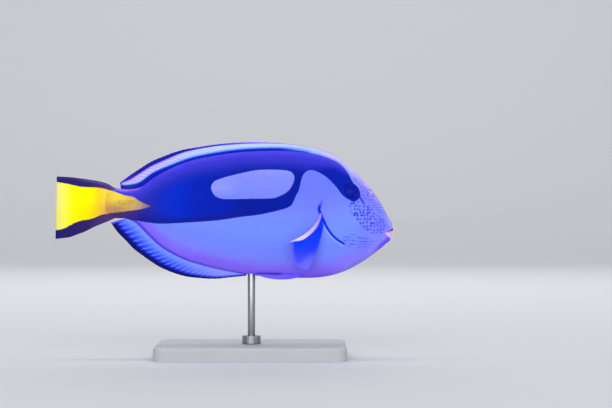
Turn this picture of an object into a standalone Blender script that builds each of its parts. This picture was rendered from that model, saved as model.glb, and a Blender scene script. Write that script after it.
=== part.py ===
"""Regal blue tang, life size, swimming level on a museum stand.

The fish swims towards +X with its back up (+Z), and its right side faces -Y. The origin is on the
floor under the middle of its length. Lengths are in metres; the tables of marks are in millimetres,
x from the middle of the fish's length and z above the lowest point of its belly.
"""

import math

import bmesh
import bpy
import numpy as np
from mathutils import Vector

MM = 0.001

# Driving dimensions
TOTAL_LENGTH = 200 * MM
BELLY_HEIGHT = 46 * MM
SEAM = 0.3 * MM
EYE_RADII = (4.75 * MM, 2.7 * MM, 4.75 * MM)
SPINE_RADII = (4.25 * MM, 0.55 * MM, 0.75 * MM)
FIN_ROOT_THICKNESS = 1.3 * MM
FIN_RIM_THICKNESS = 0.6 * MM
BASE_LENGTH, BASE_WIDTH, BASE_THICKNESS = 112 * MM, 66 * MM, 8 * MM
ROD_RADIUS = 2.2 * MM

# Outline of the body without its fins, as (x, z) marks in millimetres from tail to lip
BACK_LINE = [
    (-65.9, 54.3), (-57.1, 53.6), (-50.0, 55.1), (-41.1, 61.3), (-26.3, 68.8), (-2.6, 74.5), (22.3, 76.7),
    (44.8, 76.1), (62.5, 72.7), (74.4, 66.5), (83.8, 57.6), (92.1, 46.4), (97.4, 36.6), (99.5, 31.8),
    (99.9, 29.9),
]
BELLY_LINE = [
    (-65.9, 36.0), (-57.1, 35.5), (-51.1, 33.0), (-45.2, 27.1), (-38.1, 20.3), (-26.3, 13.2), (-11.5, 8.0),
    (6.3, 3.9), (18.1, 2.1), (35.9, 1.1), (47.7, 0.6), (59.6, 1.4), (71.4, 4.7), (83.2, 11.2), (90.9, 16.8),
    (95.7, 20.9), (98.2, 23.4), (98.9, 25.0), (99.6, 27.4), (99.9, 29.2),
]
# Half the body's thickness, and the height at which it is thickest, along its length
HALF_THICKNESS = [
    (-65.9, 2.6), (-57.1, 3.9), (-50.0, 4.9), (-38.0, 6.6), (-20.0, 9.2), (0.0, 11.4), (22.0, 12.9),
    (44.8, 13.4), (58.0, 12.8), (70.0, 11.4), (80.0, 9.6), (88.0, 7.4), (94.0, 5.2), (97.5, 3.8), (99.3, 2.6),
    (99.9, 0.9),
]
THICKEST_HEIGHT = [
    (-65.9, 45.2), (-50.0, 44.3), (-20.0, 41.0), (22.0, 38.5), (58.0, 37.0), (80.0, 34.5), (94.0, 30.5),
    (99.9, 29.5),
]
FLANK_SHARPNESS = 1.12
THINNEST_CORE = 0.15
RINGS, RING_POINTS = 46, 28
RING_CROWDING = 1.45

# Lines along which the body is parted, as (x, z) marks in millimetres from the back to the belly
GILL_LINE = [
    (51.0, 84.0), (53.5, 72.0), (56.0, 60.0), (57.2, 51.0), (56.5, 44.0), (57.2, 39.3), (59.0, 33.9),
    (62.5, 28.3), (66.7, 23.8), (72.0, 19.1), (75.5, 13.0), (77.0, 1.0),
]
STALK_LINE = [(-49.0, 62.0), (-52.5, 52.0), (-53.4, 44.0), (-52.0, 36.0), (-48.5, 24.0)]
JAW_LINE = [(99.5, 41.0), (95.2, 35.7), (93.9, 31.6), (93.8, 27.4), (92.9, 22.7), (89.0, 13.0)]
MOUTH_CORNER, UPPER_LIP_EDGE, LOWER_LIP_EDGE = (94.6, 27.8), (101.5, 29.1), (101.5, 26.2)
# Front edge of the gill cover, from its top to its foot
CHEEK_LINE = [(58.6, 49.5), (62.8, 46.5), (66.4, 41.0), (69.2, 33.5), (71.0, 26.0), (71.6, 20.5)]
GILL_COVER_DEPTH = 2.6 * MM

EYE_PLACE = (75.2, 52.3)
EYE_SINK = 1.25 * MM
SPINE_PLACE = (-58.6, 45.4)
SPINE_SINK = 0.1 * MM

# Each unpaired fin runs from its root line on the body to its rim line
DORSAL_ROOT = (69.8, -61.0)
DORSAL_RIM = [
    (70.6, 69.5), (66.1, 73.2), (62.5, 75.0), (56.6, 76.9), (44.8, 79.4), (32.9, 80.7), (21.1, 81.2),
    (9.2, 81.1), (-2.6, 80.2), (-14.4, 78.5), (-26.3, 76.3), (-35.2, 73.2), (-44.0, 69.4), (-50.0, 65.6),
    (-55.9, 61.7), (-59.4, 59.2), (-62.2, 57.2),
]
ANAL_ROOT = (13.6, -57.0)
ANAL_RIM = [
    (12.6, 2.2), (3.3, 1.2), (-5.6, 0.4), (-14.4, 0.7), (-23.3, 1.8), (-32.2, 4.6), (-38.1, 7.3),
    (-42.7, 10.1), (-47.9, 13.8), (-52.8, 17.4), (-58.4, 23.2), (-63.1, 28.0), (-67.4, 33.6),
]
TAIL_TOP = [(-65.9, 54.6), (-69.0, 56.5), (-73.6, 58.0), (-82.5, 59.5), (-91.4, 60.6), (-99.1, 61.0)]
TAIL_BOTTOM = [
    (-65.9, 35.7), (-71.3, 33.4), (-77.2, 31.0), (-82.5, 28.3), (-87.9, 26.3), (-91.4, 25.0), (-95.5, 24.4),
    (-99.9, 23.9),
]
TAIL_ROOT_THICKNESS = 4.2 * MM

# Paired fins: root, bend and tip of the first and last ray as (x, how far out of the flank, z)
PECTORAL_FIRST_RAY = [(57.0, 0.9, 39.2), (53.6, 6.6, 28.0), (38.8, 9.6, 22.8)]
PECTORAL_LAST_RAY = [(57.9, 0.9, 33.2), (58.4, 3.4, 25.2), (49.5, 4.7, 5.8)]
PECTORAL_RIM_BULGE = 4.2 * MM
PECTORAL_RIM_SKEW = 1.45  # over 1 moves the bulge of its rim towards the last ray
PELVIC_TOP = [(46.6, 3.4), (18.7, 3.9)]
PELVIC_BOTTOM = [(46.6, 2.7), (44.0, 1.5), (40.0, 0.5), (34.5, 0.0), (28.0, 0.5), (22.5, 1.7), (18.7, 3.3)]
PELVIC_OUT = (0.95 * MM, 1.5 * MM)
PELVIC_THICKNESS = 0.8 * MM

ROD_PLACE = 16.0
COLLAR_RADIUS, COLLAR_HEIGHT = 5.5 * MM, 4.5 * MM

COLOURS = {
    "blue": (0.17, 0.28, 0.95),
    "snout": (0.22, 0.30, 0.93),
    "stalk": (0.02, 0.03, 0.40),
    "fin_blue": (0.10, 0.22, 0.85),
    "dorsal_pale": (0.55, 0.62, 0.98),
    "yellow": (0.95, 0.75, 0.01),
    "eye": (0.005, 0.010, 0.06),
    "spine": (0.80, 0.62, 0.12),
    "steel": (0.62, 0.63, 0.65),
    "base": (0.42, 0.43, 0.45),
}


def smooth(marks, place):
    """Height at each place of the smooth curve through marks, which rise or fall along x."""
    places, values = np.array(sorted(marks)).T
    slopes = np.gradient(values, places)
    at = np.clip(np.asarray(place, float), places[0], places[-1])
    i = np.clip(np.searchsorted(places, at) - 1, 0, len(places) - 2)
    span = places[i + 1] - places[i]
    t = (at - places[i]) / span
    ahead, behind = 3 * t**2 - 2 * t**3, t**3 - t**2
    through_marks = values[i] * (1 - ahead) + values[i + 1] * ahead
    return through_marks + slopes[i] * span * (t - t**2 + behind) + slopes[i + 1] * span * behind


def along(marks, share):
    """Points at these shares of the length of the smooth curve through (x, z) marks."""
    marks = np.array(marks, float)
    steps = np.concatenate([[0], np.cumsum(np.hypot(*np.diff(marks, axis=0).T))])
    at = np.asarray(share, float) * steps[-1]
    return np.stack([smooth(list(zip(steps, marks[:, k])), at) for k in (0, 1)], axis=-1)


def section(x):
    """(top, bottom, height of the thickest point, half thickness) of the body at x, in millimetres."""
    return smooth(BACK_LINE, x), smooth(BELLY_LINE, x), smooth(THICKEST_HEIGHT, x), smooth(HALF_THICKNESS, x)


def flank(x, z):
    """Half the body's thickness in millimetres at (x, z)."""
    top, bottom, middle, half = section(x)
    reach = (top - middle) if z > middle else (middle - bottom)
    height = min(1.0, abs(z - middle) / reach)
    return float(half * (1 - height**2) ** (FLANK_SHARPNESS / 2))


def outward(x, z, side):
    """The direction the flank faces at (x, z)."""
    rise_along, rise_up = flank(x + 1, z) - flank(x - 1, z), flank(x, z + 1) - flank(x, z - 1)
    return Vector((-rise_along / 2, side, -rise_up / 2)).normalized()


def sunk_place(place, side, depth):
    """The point at this depth under the flank at place, an (x, z) in millimetres."""
    x, z = place
    surface = Vector((x * MM, side * flank(x, z) * MM, z * MM + BELLY_HEIGHT))
    return surface - outward(x, z, side) * depth


def collection(name, hidden=False):
    made = bpy.data.collections.new(name)
    made.hide_render = hidden
    bpy.context.scene.collection.children.link(made)
    return made


def material(name):
    made = bpy.data.materials.new(name)
    made.use_nodes = True
    shader = made.node_tree.nodes["Principled BSDF"]
    shader.inputs["Base Color"].default_value = (*COLOURS[name], 1.0)
    shader.inputs["Roughness"].default_value = {"steel": 0.25, "eye": 0.1}.get(name, 0.45)
    shader.inputs["Metallic"].default_value = 1.0 if name == "steel" else 0.0
    return made


def add(name, mesh, group, look=None):
    obj = bpy.data.objects.new(name, mesh)
    group.objects.link(obj)
    if look:
        mesh.materials.clear()
        mesh.materials.append(looks[look])
    if group is cutters:
        obj.hide_render = True
        obj.display_type = "WIRE"
    return obj


def shade(mesh):
    mesh.shade_smooth()
    mesh.set_sharp_from_angle(angle=math.radians(35))


def from_bmesh(bm):
    mesh = bpy.data.meshes.new("shape")
    bm.to_mesh(mesh)
    bm.free()
    return mesh


def body_mesh(grow=0.0, slimmer=0.0):
    """The whole body: a sphere whose rings take the body's sections, grown all round or slimmed sideways."""
    bm = bmesh.new()
    bmesh.ops.create_uvsphere(bm, u_segments=RING_POINTS, v_segments=RINGS, radius=1.0)
    tail, lip = BACK_LINE[0][0], BACK_LINE[-1][0]
    for vert in bm.verts:
        # The sphere's axis becomes the body's length, from the tail pole to the lip pole.
        share = 1 - math.acos(max(-1.0, min(1.0, vert.co.z))) / math.pi
        from_tail = max(0.0, (share * RINGS - 1) / (RINGS - 1))  # the first ring closes the end flat
        x = lip - (lip - tail) * (1 - from_tail) ** RING_CROWDING
        turn = math.atan2(vert.co.y, vert.co.x)
        top, bottom, middle, half = section(x)
        pole = 1.0 if 0 < round(share * RINGS) < RINGS else 0.0
        reach = (top - middle) if math.cos(turn) > 0 else (middle - bottom)
        bow = math.copysign(abs(math.sin(turn)) ** FLANK_SHARPNESS, math.sin(turn))
        sideways = max(THINNEST_CORE, half - slimmer / MM) * bow
        out = grow / MM
        vert.co = (
            x * MM + out * MM * ((from_tail > 0.99) - (from_tail < 0.001)),
            (sideways + out * math.sin(turn)) * pole * MM,
            (middle + (reach + out) * math.cos(turn) * pole) * MM + BELLY_HEIGHT,
        )
    # Turning the sphere's axis along X mirrors it, so its faces are turned back outwards.
    bmesh.ops.reverse_faces(bm, faces=bm.faces)
    return from_bmesh(bm)


def prism(name, outline, half_depth, middle=0.0):
    """A closed (x, z) outline in millimetres, extruded along Y as a cutter."""
    curve = bpy.data.curves.new(name, "CURVE")
    curve.dimensions, curve.fill_mode, curve.extrude = "2D", "BOTH", half_depth
    line = curve.splines.new("POLY")
    line.points.add(len(outline) - 1)
    for point, (x, z) in zip(line.points, outline):
        point.co = (x * MM, z * MM + BELLY_HEIGHT, 0.0, 1.0)
    line.use_cyclic_u = True
    guide = add(name, curve, cutters)
    guide.rotation_euler.x = math.pi / 2
    guide.location.y = middle
    return as_mesh(guide)


def as_mesh(obj):
    """Replaces a curve or a modified object by the mesh it evaluates to, in place."""
    bpy.context.view_layer.update()
    mesh = bpy.data.meshes.new_from_object(obj.evaluated_get(bpy.context.evaluated_depsgraph_get()))
    bm = bmesh.new()
    bm.from_mesh(mesh)
    bmesh.ops.remove_doubles(bm, verts=bm.verts, dist=0.00001)
    bmesh.ops.transform(bm, matrix=obj.matrix_world, verts=bm.verts)
    bmesh.ops.recalc_face_normals(bm, faces=bm.faces)
    bm.to_mesh(mesh)
    bm.free()
    name, group = obj.name, obj.users_collection[0]
    bpy.data.objects.remove(obj)
    return add(name, mesh, group)


def offset(line, distance):
    """The (x, z) line in millimetres moved to its left by distance."""
    ahead = np.gradient(line, axis=0)
    left = np.stack([-ahead[:, 1], ahead[:, 0]], axis=1) / np.hypot(*ahead.T)[:, None]
    return line + left * distance / MM


def wall(name, marks, pieces=16):
    """A thin upright wall through the body along marks, as thick as a seam."""
    line = along(marks, np.linspace(0, 1, pieces + 1))
    return prism(name, [*offset(line, SEAM / 2), *offset(line, -SEAM / 2)[::-1]], 30 * MM)


def ball(name, place, side, depth, radii, group, segments, look=None):
    """An ellipsoid sunk in the flank, whose y axis stands square to it."""
    bm = bmesh.new()
    bmesh.ops.create_uvsphere(bm, u_segments=segments, v_segments=segments // 2, radius=1.0)
    bmesh.ops.scale(bm, vec=radii, verts=bm.verts)
    turn = Vector((0, side, 0)).rotation_difference(outward(*place, side))
    bmesh.ops.rotate(bm, matrix=turn.to_matrix(), verts=bm.verts)
    bmesh.ops.translate(bm, vec=sunk_place(place, side, depth), verts=bm.verts)
    return add(name, from_bmesh(bm), group, look)


def cut(obj, cutter, operation="DIFFERENCE"):
    step = obj.modifiers.new(cutter.name, "BOOLEAN")
    step.operation, step.object = operation, cutter


def part(obj, names):
    """Splits obj into its separate bodies. names gives each its name, look and a nearby (x, y, z) in mm."""
    obj = as_mesh(obj)
    bm = bmesh.new()
    bm.from_mesh(obj.data)
    bpy.data.objects.remove(obj)
    left, bodies = set(bm.verts), []
    while left:
        found, edge = set(), [left.pop()]
        while edge:
            vert = edge.pop()
            found.add(vert)
            for link in vert.link_edges:
                other = link.other_vert(vert)
                if other in left:
                    left.discard(other)
                    edge.append(other)
        bodies.append(found)
    for name, (look, place) in names.items():
        target = np.array(place) * MM + (0, 0, BELLY_HEIGHT)
        nearest = min(bodies, key=lambda b: min(np.linalg.norm(np.array(v.co) - target) for v in b))
        alone = bm.copy()
        places = {v.index for v in nearest}
        bmesh.ops.delete(alone, geom=[v for v in alone.verts if v.index not in places], context="VERTS")
        mesh = from_bmesh(alone)
        shade(mesh)
        add(name, mesh, fish, look)
    bm.free()


def make_body():
    """Head, jaws, gill covers, trunk and tail stalk, parted by thin walls from one body."""
    whole = add("whole_body", body_mesh(), cutters)
    core = add("body_core", body_mesh(slimmer=GILL_COVER_DEPTH), cutters)
    inner_core = add("inner_core", body_mesh(slimmer=GILL_COVER_DEPTH + SEAM), cutters)
    cheek = along(CHEEK_LINE, np.linspace(0, 1, 12))
    gill = along(GILL_LINE, np.linspace(0, 1, 60))
    rear = gill[(gill[:, 1] < CHEEK_LINE[0][1]) & (gill[:, 1] > CHEEK_LINE[-1][1])]
    shift = np.array([0.5 * SEAM / MM, 0.0])
    cover = prism("cover_outline", [*cheek, *(rear[::-1] + shift)], 30 * MM)
    # The pocket's front edge runs past both ends of the cover, so the cover's corners are clear too.
    longer = np.array([cheek[0] * 1.2 - cheek[1] * 0.2, *cheek, cheek[-1] * 1.2 - cheek[-2] * 0.2])
    pocket = prism("pocket_outline", [*offset(longer, SEAM), *rear[::-1]], 30 * MM)
    cut(pocket, inner_core)
    pocket = as_mesh(pocket)
    covers = add("gill_covers", whole.data.copy(), cutters)
    cut(covers, cover, "INTERSECT")
    cut(covers, core)
    part(covers, {"gill_cover_right": ("blue", (62, -12, 38)), "gill_cover_left": ("blue", (62, 12, 38))})
    body = add("parted_body", whole.data.copy(), cutters)
    for line, name in ((GILL_LINE, "gill_wall"), (STALK_LINE, "stalk_wall"), (JAW_LINE, "jaw_wall")):
        cut(body, wall(name, line))
    behind_corner = (MOUTH_CORNER[0] - 0.9, MOUTH_CORNER[1])
    cut(body, prism("mouth_wedge", [behind_corner, LOWER_LIP_EDGE, UPPER_LIP_EDGE], 30 * MM))
    cut(body, pocket)
    for side in (-1, 1):
        cut(body, ball(f"socket{side}", EYE_PLACE, side, EYE_SINK, grown(EYE_RADII), cutters, 20))
        cut(body, ball(f"groove{side}", SPINE_PLACE, side, SPINE_SINK, grown(SPINE_RADII), cutters, 12))
    part(body, {
        "head": ("snout", (84, 0, 52)),
        "upper_jaw": ("snout", (97.3, 0, 36)),
        "lower_jaw": ("snout", (95, 0, 20.6)),
        "trunk": ("blue", (20, 0, 76)),
        "tail_stalk": ("stalk", (-62, 0, 53.8)),
    })


def grown(radii):
    return tuple(r + SEAM for r in radii)


def make_eyes_and_spines():
    for name, side in (("right", -1), ("left", 1)):
        eye = ball(f"eye_{name}", EYE_PLACE, side, EYE_SINK, EYE_RADII, fish, 18, "eye")
        spine = ball(f"tail_spine_{name}", SPINE_PLACE, side, SPINE_SINK, SPINE_RADII, fish, 10, "spine")
        shade(eye.data)
        shade(spine.data)


def sheet(name, point_at, columns, rows, root_thickness, look):
    """A fin as a grid bent to point_at(share along the root, share out to the rim), thinner to its rim."""
    bm = bmesh.new()
    bmesh.ops.create_grid(bm, x_segments=columns, y_segments=rows, size=0.5)
    shares = [(vert.co.x + 0.5, vert.co.y + 0.5) for vert in bm.verts]
    for vert, (u, v) in zip(bm.verts, shares):
        vert.co = point_at(u, v)
    fin = add(name, from_bmesh(bm), fish, look)
    weights = fin.vertex_groups.new(name="thickness")
    for index, (_, v) in enumerate(shares):
        weights.add([index], 1 - v * (1 - FIN_RIM_THICKNESS / root_thickness), "REPLACE")
    thick = fin.modifiers.new("thick", "SOLIDIFY")
    thick.thickness, thick.offset, thick.vertex_group = root_thickness, 0.0, "thickness"
    fin = as_mesh(fin)
    fin.data.materials.clear()
    fin.data.materials.append(looks[look])
    shade(fin.data)
    return fin


def in_body(x, z, y=0.0):
    return (x * MM, y * MM, z * MM + BELLY_HEIGHT)


def make_unpaired_fins():
    gap = 1.2 * SEAM / MM

    def ruled(root, line, rim, direction):
        def point_at(u, v):
            x = root[0] + (root[1] - root[0]) * u
            base = np.array([x, float(smooth(line, x)) + direction * gap])
            return in_body(*(base * (1 - v) + along(rim, u) * v))
        return point_at

    dorsal = ruled(DORSAL_ROOT, BACK_LINE, DORSAL_RIM, 1)
    anal = ruled(ANAL_ROOT, BELLY_LINE, ANAL_RIM, -1)
    sheet("dorsal_fin", dorsal, 40, 3, FIN_ROOT_THICKNESS, "dorsal_pale")
    sheet("anal_fin", anal, 30, 3, FIN_ROOT_THICKNESS, "fin_blue")

    def tail_point(u, v):
        top, bottom = along(TAIL_TOP, v), along(TAIL_BOTTOM, v)
        x, z = top * (1 - u) + bottom * u
        return in_body(x - gap, z)

    sheet("tail_fin", tail_point, 12, 9, TAIL_ROOT_THICKNESS, "yellow")


def make_paired_fins():
    def bent(ray, t):
        root, bend, tip = (np.array(p, float) for p in ray)
        return root * (1 - t) ** 2 + 2 * bend * t * (1 - t) + tip * t**2

    def pectoral(side):
        def point_at(u, v):
            first, last = bent(PECTORAL_FIRST_RAY, v), bent(PECTORAL_LAST_RAY, v)
            bulge = PECTORAL_RIM_BULGE / MM * v**2 * math.sin(math.pi * u**PECTORAL_RIM_SKEW)
            x, out, z = first * (1 - u) + last * u
            root_x, _, root_z = bent(PECTORAL_FIRST_RAY, 0) * (1 - u) + bent(PECTORAL_LAST_RAY, 0) * u
            return in_body(x - bulge, z - 0.6 * bulge, side * (flank(root_x, root_z) + out))
        return point_at

    def pelvic(side):
        def point_at(u, v):
            upper, lower = along(PELVIC_TOP, u), along(PELVIC_BOTTOM, u)
            x, z = upper * (1 - v) + lower * v
            lean = np.interp(u, (0, 1), PELVIC_OUT) / MM
            return in_body(x, z, side * (flank(x, max(z, 3.2)) + lean))
        return point_at

    for name, side in (("right", -1), ("left", 1)):
        sheet(f"pectoral_fin_{name}", pectoral(side), 9, 10, FIN_ROOT_THICKNESS, "fin_blue")
        sheet(f"pelvic_fin_{name}", pelvic(side), 13, 3, PELVIC_THICKNESS, "fin_blue")


def cylinder(name, radius, low, high, group):
    bm = bmesh.new()
    bmesh.ops.create_cone(bm, cap_ends=True, segments=28, radius1=radius, radius2=radius, depth=high - low)
    bmesh.ops.translate(bm, vec=(ROD_PLACE * MM, 0, (low + high) / 2), verts=bm.verts)
    return add(name, from_bmesh(bm), group)


def finished(obj, look):
    obj = as_mesh(obj)
    obj.data.materials.clear()
    obj.data.materials.append(looks[look])
    shade(obj.data)


def make_stand():
    """A flat base with one short rod, whose top is cut to sit around the keel of the belly."""
    bm = bmesh.new()
    bmesh.ops.create_cube(bm, size=1.0)
    bmesh.ops.scale(bm, vec=(BASE_LENGTH, BASE_WIDTH, BASE_THICKNESS), verts=bm.verts)
    bmesh.ops.translate(bm, vec=(ROD_PLACE * MM, 0, BASE_THICKNESS / 2), verts=bm.verts)
    uprights = [e for e in bm.edges if abs(e.verts[0].co.z - e.verts[1].co.z) > BASE_THICKNESS / 2]
    bmesh.ops.bevel(bm, geom=uprights, offset=7 * MM, segments=6, affect="EDGES", profile=0.5)
    top = [e for e in bm.edges if all(v.co.z > BASE_THICKNESS - 1e-6 for v in e.verts)]
    bmesh.ops.bevel(bm, geom=top, offset=1.2 * MM, segments=2, affect="EDGES", profile=0.5)
    shade(add("stand_base", from_bmesh(bm), fish, "base").data)

    foot = BASE_THICKNESS + SEAM
    rod = cylinder("stand_rod", ROD_RADIUS, foot, BELLY_HEIGHT + 6 * MM, fish)
    cut(rod, add("belly_clearance", body_mesh(grow=SEAM), cutters))
    finished(rod, "steel")
    collar = cylinder("stand_collar", COLLAR_RADIUS, foot, foot + COLLAR_HEIGHT, fish)
    cut(collar, cylinder("collar_bore", ROD_RADIUS + SEAM, 0, 2 * BELLY_HEIGHT, cutters))
    finished(collar, "steel")


for old in list(bpy.data.objects):
    bpy.data.objects.remove(old, do_unlink=True)
looks = {name: material(name) for name in COLOURS}
fish = collection("regal_blue_tang")
cutters = collection("cutters", hidden=True)
make_body()
make_eyes_and_spines()
make_unpaired_fins()
make_paired_fins()
make_stand()
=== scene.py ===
# Regal blue tang on a museum stand: skin, scales, fins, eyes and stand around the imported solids.
# Numbers in the dictionaries are millimetres: x from the middle of the fish, z above its belly,
# and marks are (x, z) pairs read along an outline, unless a note says otherwise.
import math

import bpy
import numpy as np
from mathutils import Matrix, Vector


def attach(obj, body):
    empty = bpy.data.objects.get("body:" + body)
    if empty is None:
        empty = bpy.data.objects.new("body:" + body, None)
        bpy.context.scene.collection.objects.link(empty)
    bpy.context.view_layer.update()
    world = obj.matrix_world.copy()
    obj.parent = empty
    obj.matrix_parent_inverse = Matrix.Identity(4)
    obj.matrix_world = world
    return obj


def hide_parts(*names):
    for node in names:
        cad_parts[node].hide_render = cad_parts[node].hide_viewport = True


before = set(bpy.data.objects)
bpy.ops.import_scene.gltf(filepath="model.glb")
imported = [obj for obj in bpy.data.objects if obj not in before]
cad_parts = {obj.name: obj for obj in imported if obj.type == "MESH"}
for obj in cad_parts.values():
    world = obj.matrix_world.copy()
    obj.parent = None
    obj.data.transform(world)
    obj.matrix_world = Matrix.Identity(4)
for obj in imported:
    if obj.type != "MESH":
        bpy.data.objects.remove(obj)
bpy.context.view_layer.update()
bpy.ops.object.select_all(action="DESELECT")
mm = 0.001
bellyHeight = 46.0
sides = (("right", -1), ("left", 1))  # each side's name, and the way y grows towards it
scatter = np.random.default_rng(4)  # the same small irregularities each run
atOnce = 6000  # points measured together, which spares memory
fineSteps = 4000  # for lengths that are summed up along a curve
print("frame loaded")


# lines and outlines

def mix(pair, share):
    # from the first of a pair towards the second
    return pair[0] + (pair[1] - pair[0]) * share


def fade(value, low, high):
    # 0 at low and 1 at high, smooth between them
    t = np.clip((value - low) / (high - low), 0, 1)
    return t * t * (3 - 2 * t)


def bump(value, middle, width):
    # 1 at the middle, and almost 0 two widths from it
    return np.exp(-((value - middle) / width) ** 2)


def bend(t, start, end, leaving, arriving):
    # from start to end as t goes from 0 to 1, with these slopes at the ends
    ahead, behind = 3 * t**2 - 2 * t**3, t**3 - t**2
    return start * (1 - ahead) + end * ahead + leaving * (t - t**2 + behind) + arriving * behind


def smoothLine(marks, place):
    # height at each place of the smooth curve through marks
    spots, values = np.array(sorted(marks), float).T
    slopes = np.gradient(values, spots)
    at = np.clip(np.asarray(place, float), spots[0], spots[-1])
    i = np.clip(np.searchsorted(spots, at) - 1, 0, len(spots) - 2)
    span = spots[i + 1] - spots[i]
    return bend((at - spots[i]) / span, values[i], values[i + 1], slopes[i] * span, slopes[i + 1] * span)


def runningLength(points):
    # how far each point lies along the line through them all
    return np.concatenate([[0], np.cumsum(np.linalg.norm(np.diff(points, axis=0), axis=1))])


def alongLine(marks, share):
    # points at these shares of the length of the smooth curve through marks
    marks = np.array(marks, float)
    steps = runningLength(marks)
    at = np.asarray(share, float) * steps[-1]
    return np.stack([smoothLine(list(zip(steps, column)), at) for column in marks.T], axis=-1)


def closedOutline(marks, finer=8):
    # a smooth closed curve through marks, as points
    marks = np.array(marks, float)
    after = np.roll(marks, -1, 0)
    length = np.linalg.norm(after - marks, axis=1)[:, None]
    slope = (after - np.roll(marks, 1, 0)) / (length + np.roll(length, 1, 0))
    t = (np.arange(finer) / finer)[:, None, None]
    points = bend(t, marks, after, length * slope, length * np.roll(slope, -1, 0))
    return points.transpose(1, 0, 2).reshape(-1, 2)


def slices(count):
    return [slice(first, first + atOnce) for first in range(0, count, atOnce)]


def edgeGaps(x, z, start, end):
    # nearest distance from points to a run of edges, the nearest edge, and the share along it
    edge = end - start
    size = (edge**2).sum(1)
    gap, nearest, share = np.empty(len(x)), np.empty(len(x), int), np.empty(len(x))
    for some in slices(len(x)):
        toX, toZ = x[some, None] - start[:, 0], z[some, None] - start[:, 1]
        at = np.clip((toX * edge[:, 0] + toZ * edge[:, 1]) / size, 0, 1)
        away = np.hypot(toX - at * edge[:, 0], toZ - at * edge[:, 1])
        nearest[some] = away.argmin(1)
        rows = np.arange(len(away))
        gap[some], share[some] = away[rows, nearest[some]], at[rows, nearest[some]]
    return gap, nearest, share


def insideBy(x, z, marks):
    # how far points lie inside the closed outline through marks, negative outside
    start = closedOutline(marks)
    end = np.roll(start, -1, 0)
    rise = np.where(end[:, 1] == start[:, 1], 1e-9, end[:, 1] - start[:, 1])
    inside = np.empty(len(x), bool)
    for some in slices(len(x)):
        px, pz = x[some, None], z[some, None]
        crosses = (start[:, 1] > pz) != (end[:, 1] > pz)
        left = px < (end[:, 0] - start[:, 0]) * (pz - start[:, 1]) / rise + start[:, 0]
        inside[some] = (crosses & left).sum(1) % 2 == 1
    return np.where(inside, 1, -1) * edgeGaps(x, z, start, end)[0]


def besideLine(x, z, marks, pieces=48):
    # signed distance to an open line, positive on its left, and the share along it
    line = alongLine(marks, np.linspace(0, 1, pieces + 1))
    start, end = line[:-1], line[1:]
    gap, nearest, share = edgeGaps(x, z, start, end)
    edge = (end - start)[nearest]
    side = np.sign(edge[:, 0] * (z - start[nearest, 1]) - edge[:, 1] * (x - start[nearest, 0]))
    return gap * side, (nearest + share) / pieces


# mesh helpers

def started(name, shape, **sizes):
    # a new piece, from one of Blender's plain shapes
    bpy.ops.object.select_all(action="DESELECT")
    getattr(bpy.ops.mesh, f"primitive_{shape}_add")(**sizes)
    piece = bpy.context.object
    piece.name = name
    return piece


def readPoints(mesh, kind="co"):
    flat = np.empty(len(mesh.vertices) * 3)
    mesh.vertices.foreach_get(kind, flat)
    return flat.reshape(-1, 3)


def writePoints(mesh, x, y, z):
    # places in millimetres above the belly, written in the frame's metres
    placed = np.stack([x, y, z + bellyHeight], axis=1) * mm
    mesh.vertices.foreach_set("co", placed.ravel())
    mesh.update()


def writeNotes(mesh, notes):
    # values per point that the materials read
    for name, values in notes.items():
        note = mesh.attributes.new(name, "FLOAT", "POINT")
        note.data.foreach_set("value", np.asarray(values, np.float32))


def turnedOut(piece):
    # makes a closed piece's faces point outwards
    bpy.ops.object.mode_set(mode="EDIT")
    bpy.ops.mesh.select_all(action="SELECT")
    bpy.ops.mesh.normals_make_consistent(inside=False)
    bpy.ops.object.mode_set(mode="OBJECT")


def finish(piece, material, slot, *nodes):
    piece.data.materials.clear()
    piece.data.materials.append(material)
    piece.data.shade_smooth()
    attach(piece, "root")
    if nodes:
        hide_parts(*nodes)
    piece.select_set(False)


# materials

def tone(red, green, blue):
    # a colour by its 0 to 255 screen values
    linear = [((c / 255 + 0.055) / 1.055) ** 2.4 if c > 10 else c / 3295 for c in (red, green, blue)]
    return (*linear, 1.0)


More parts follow.
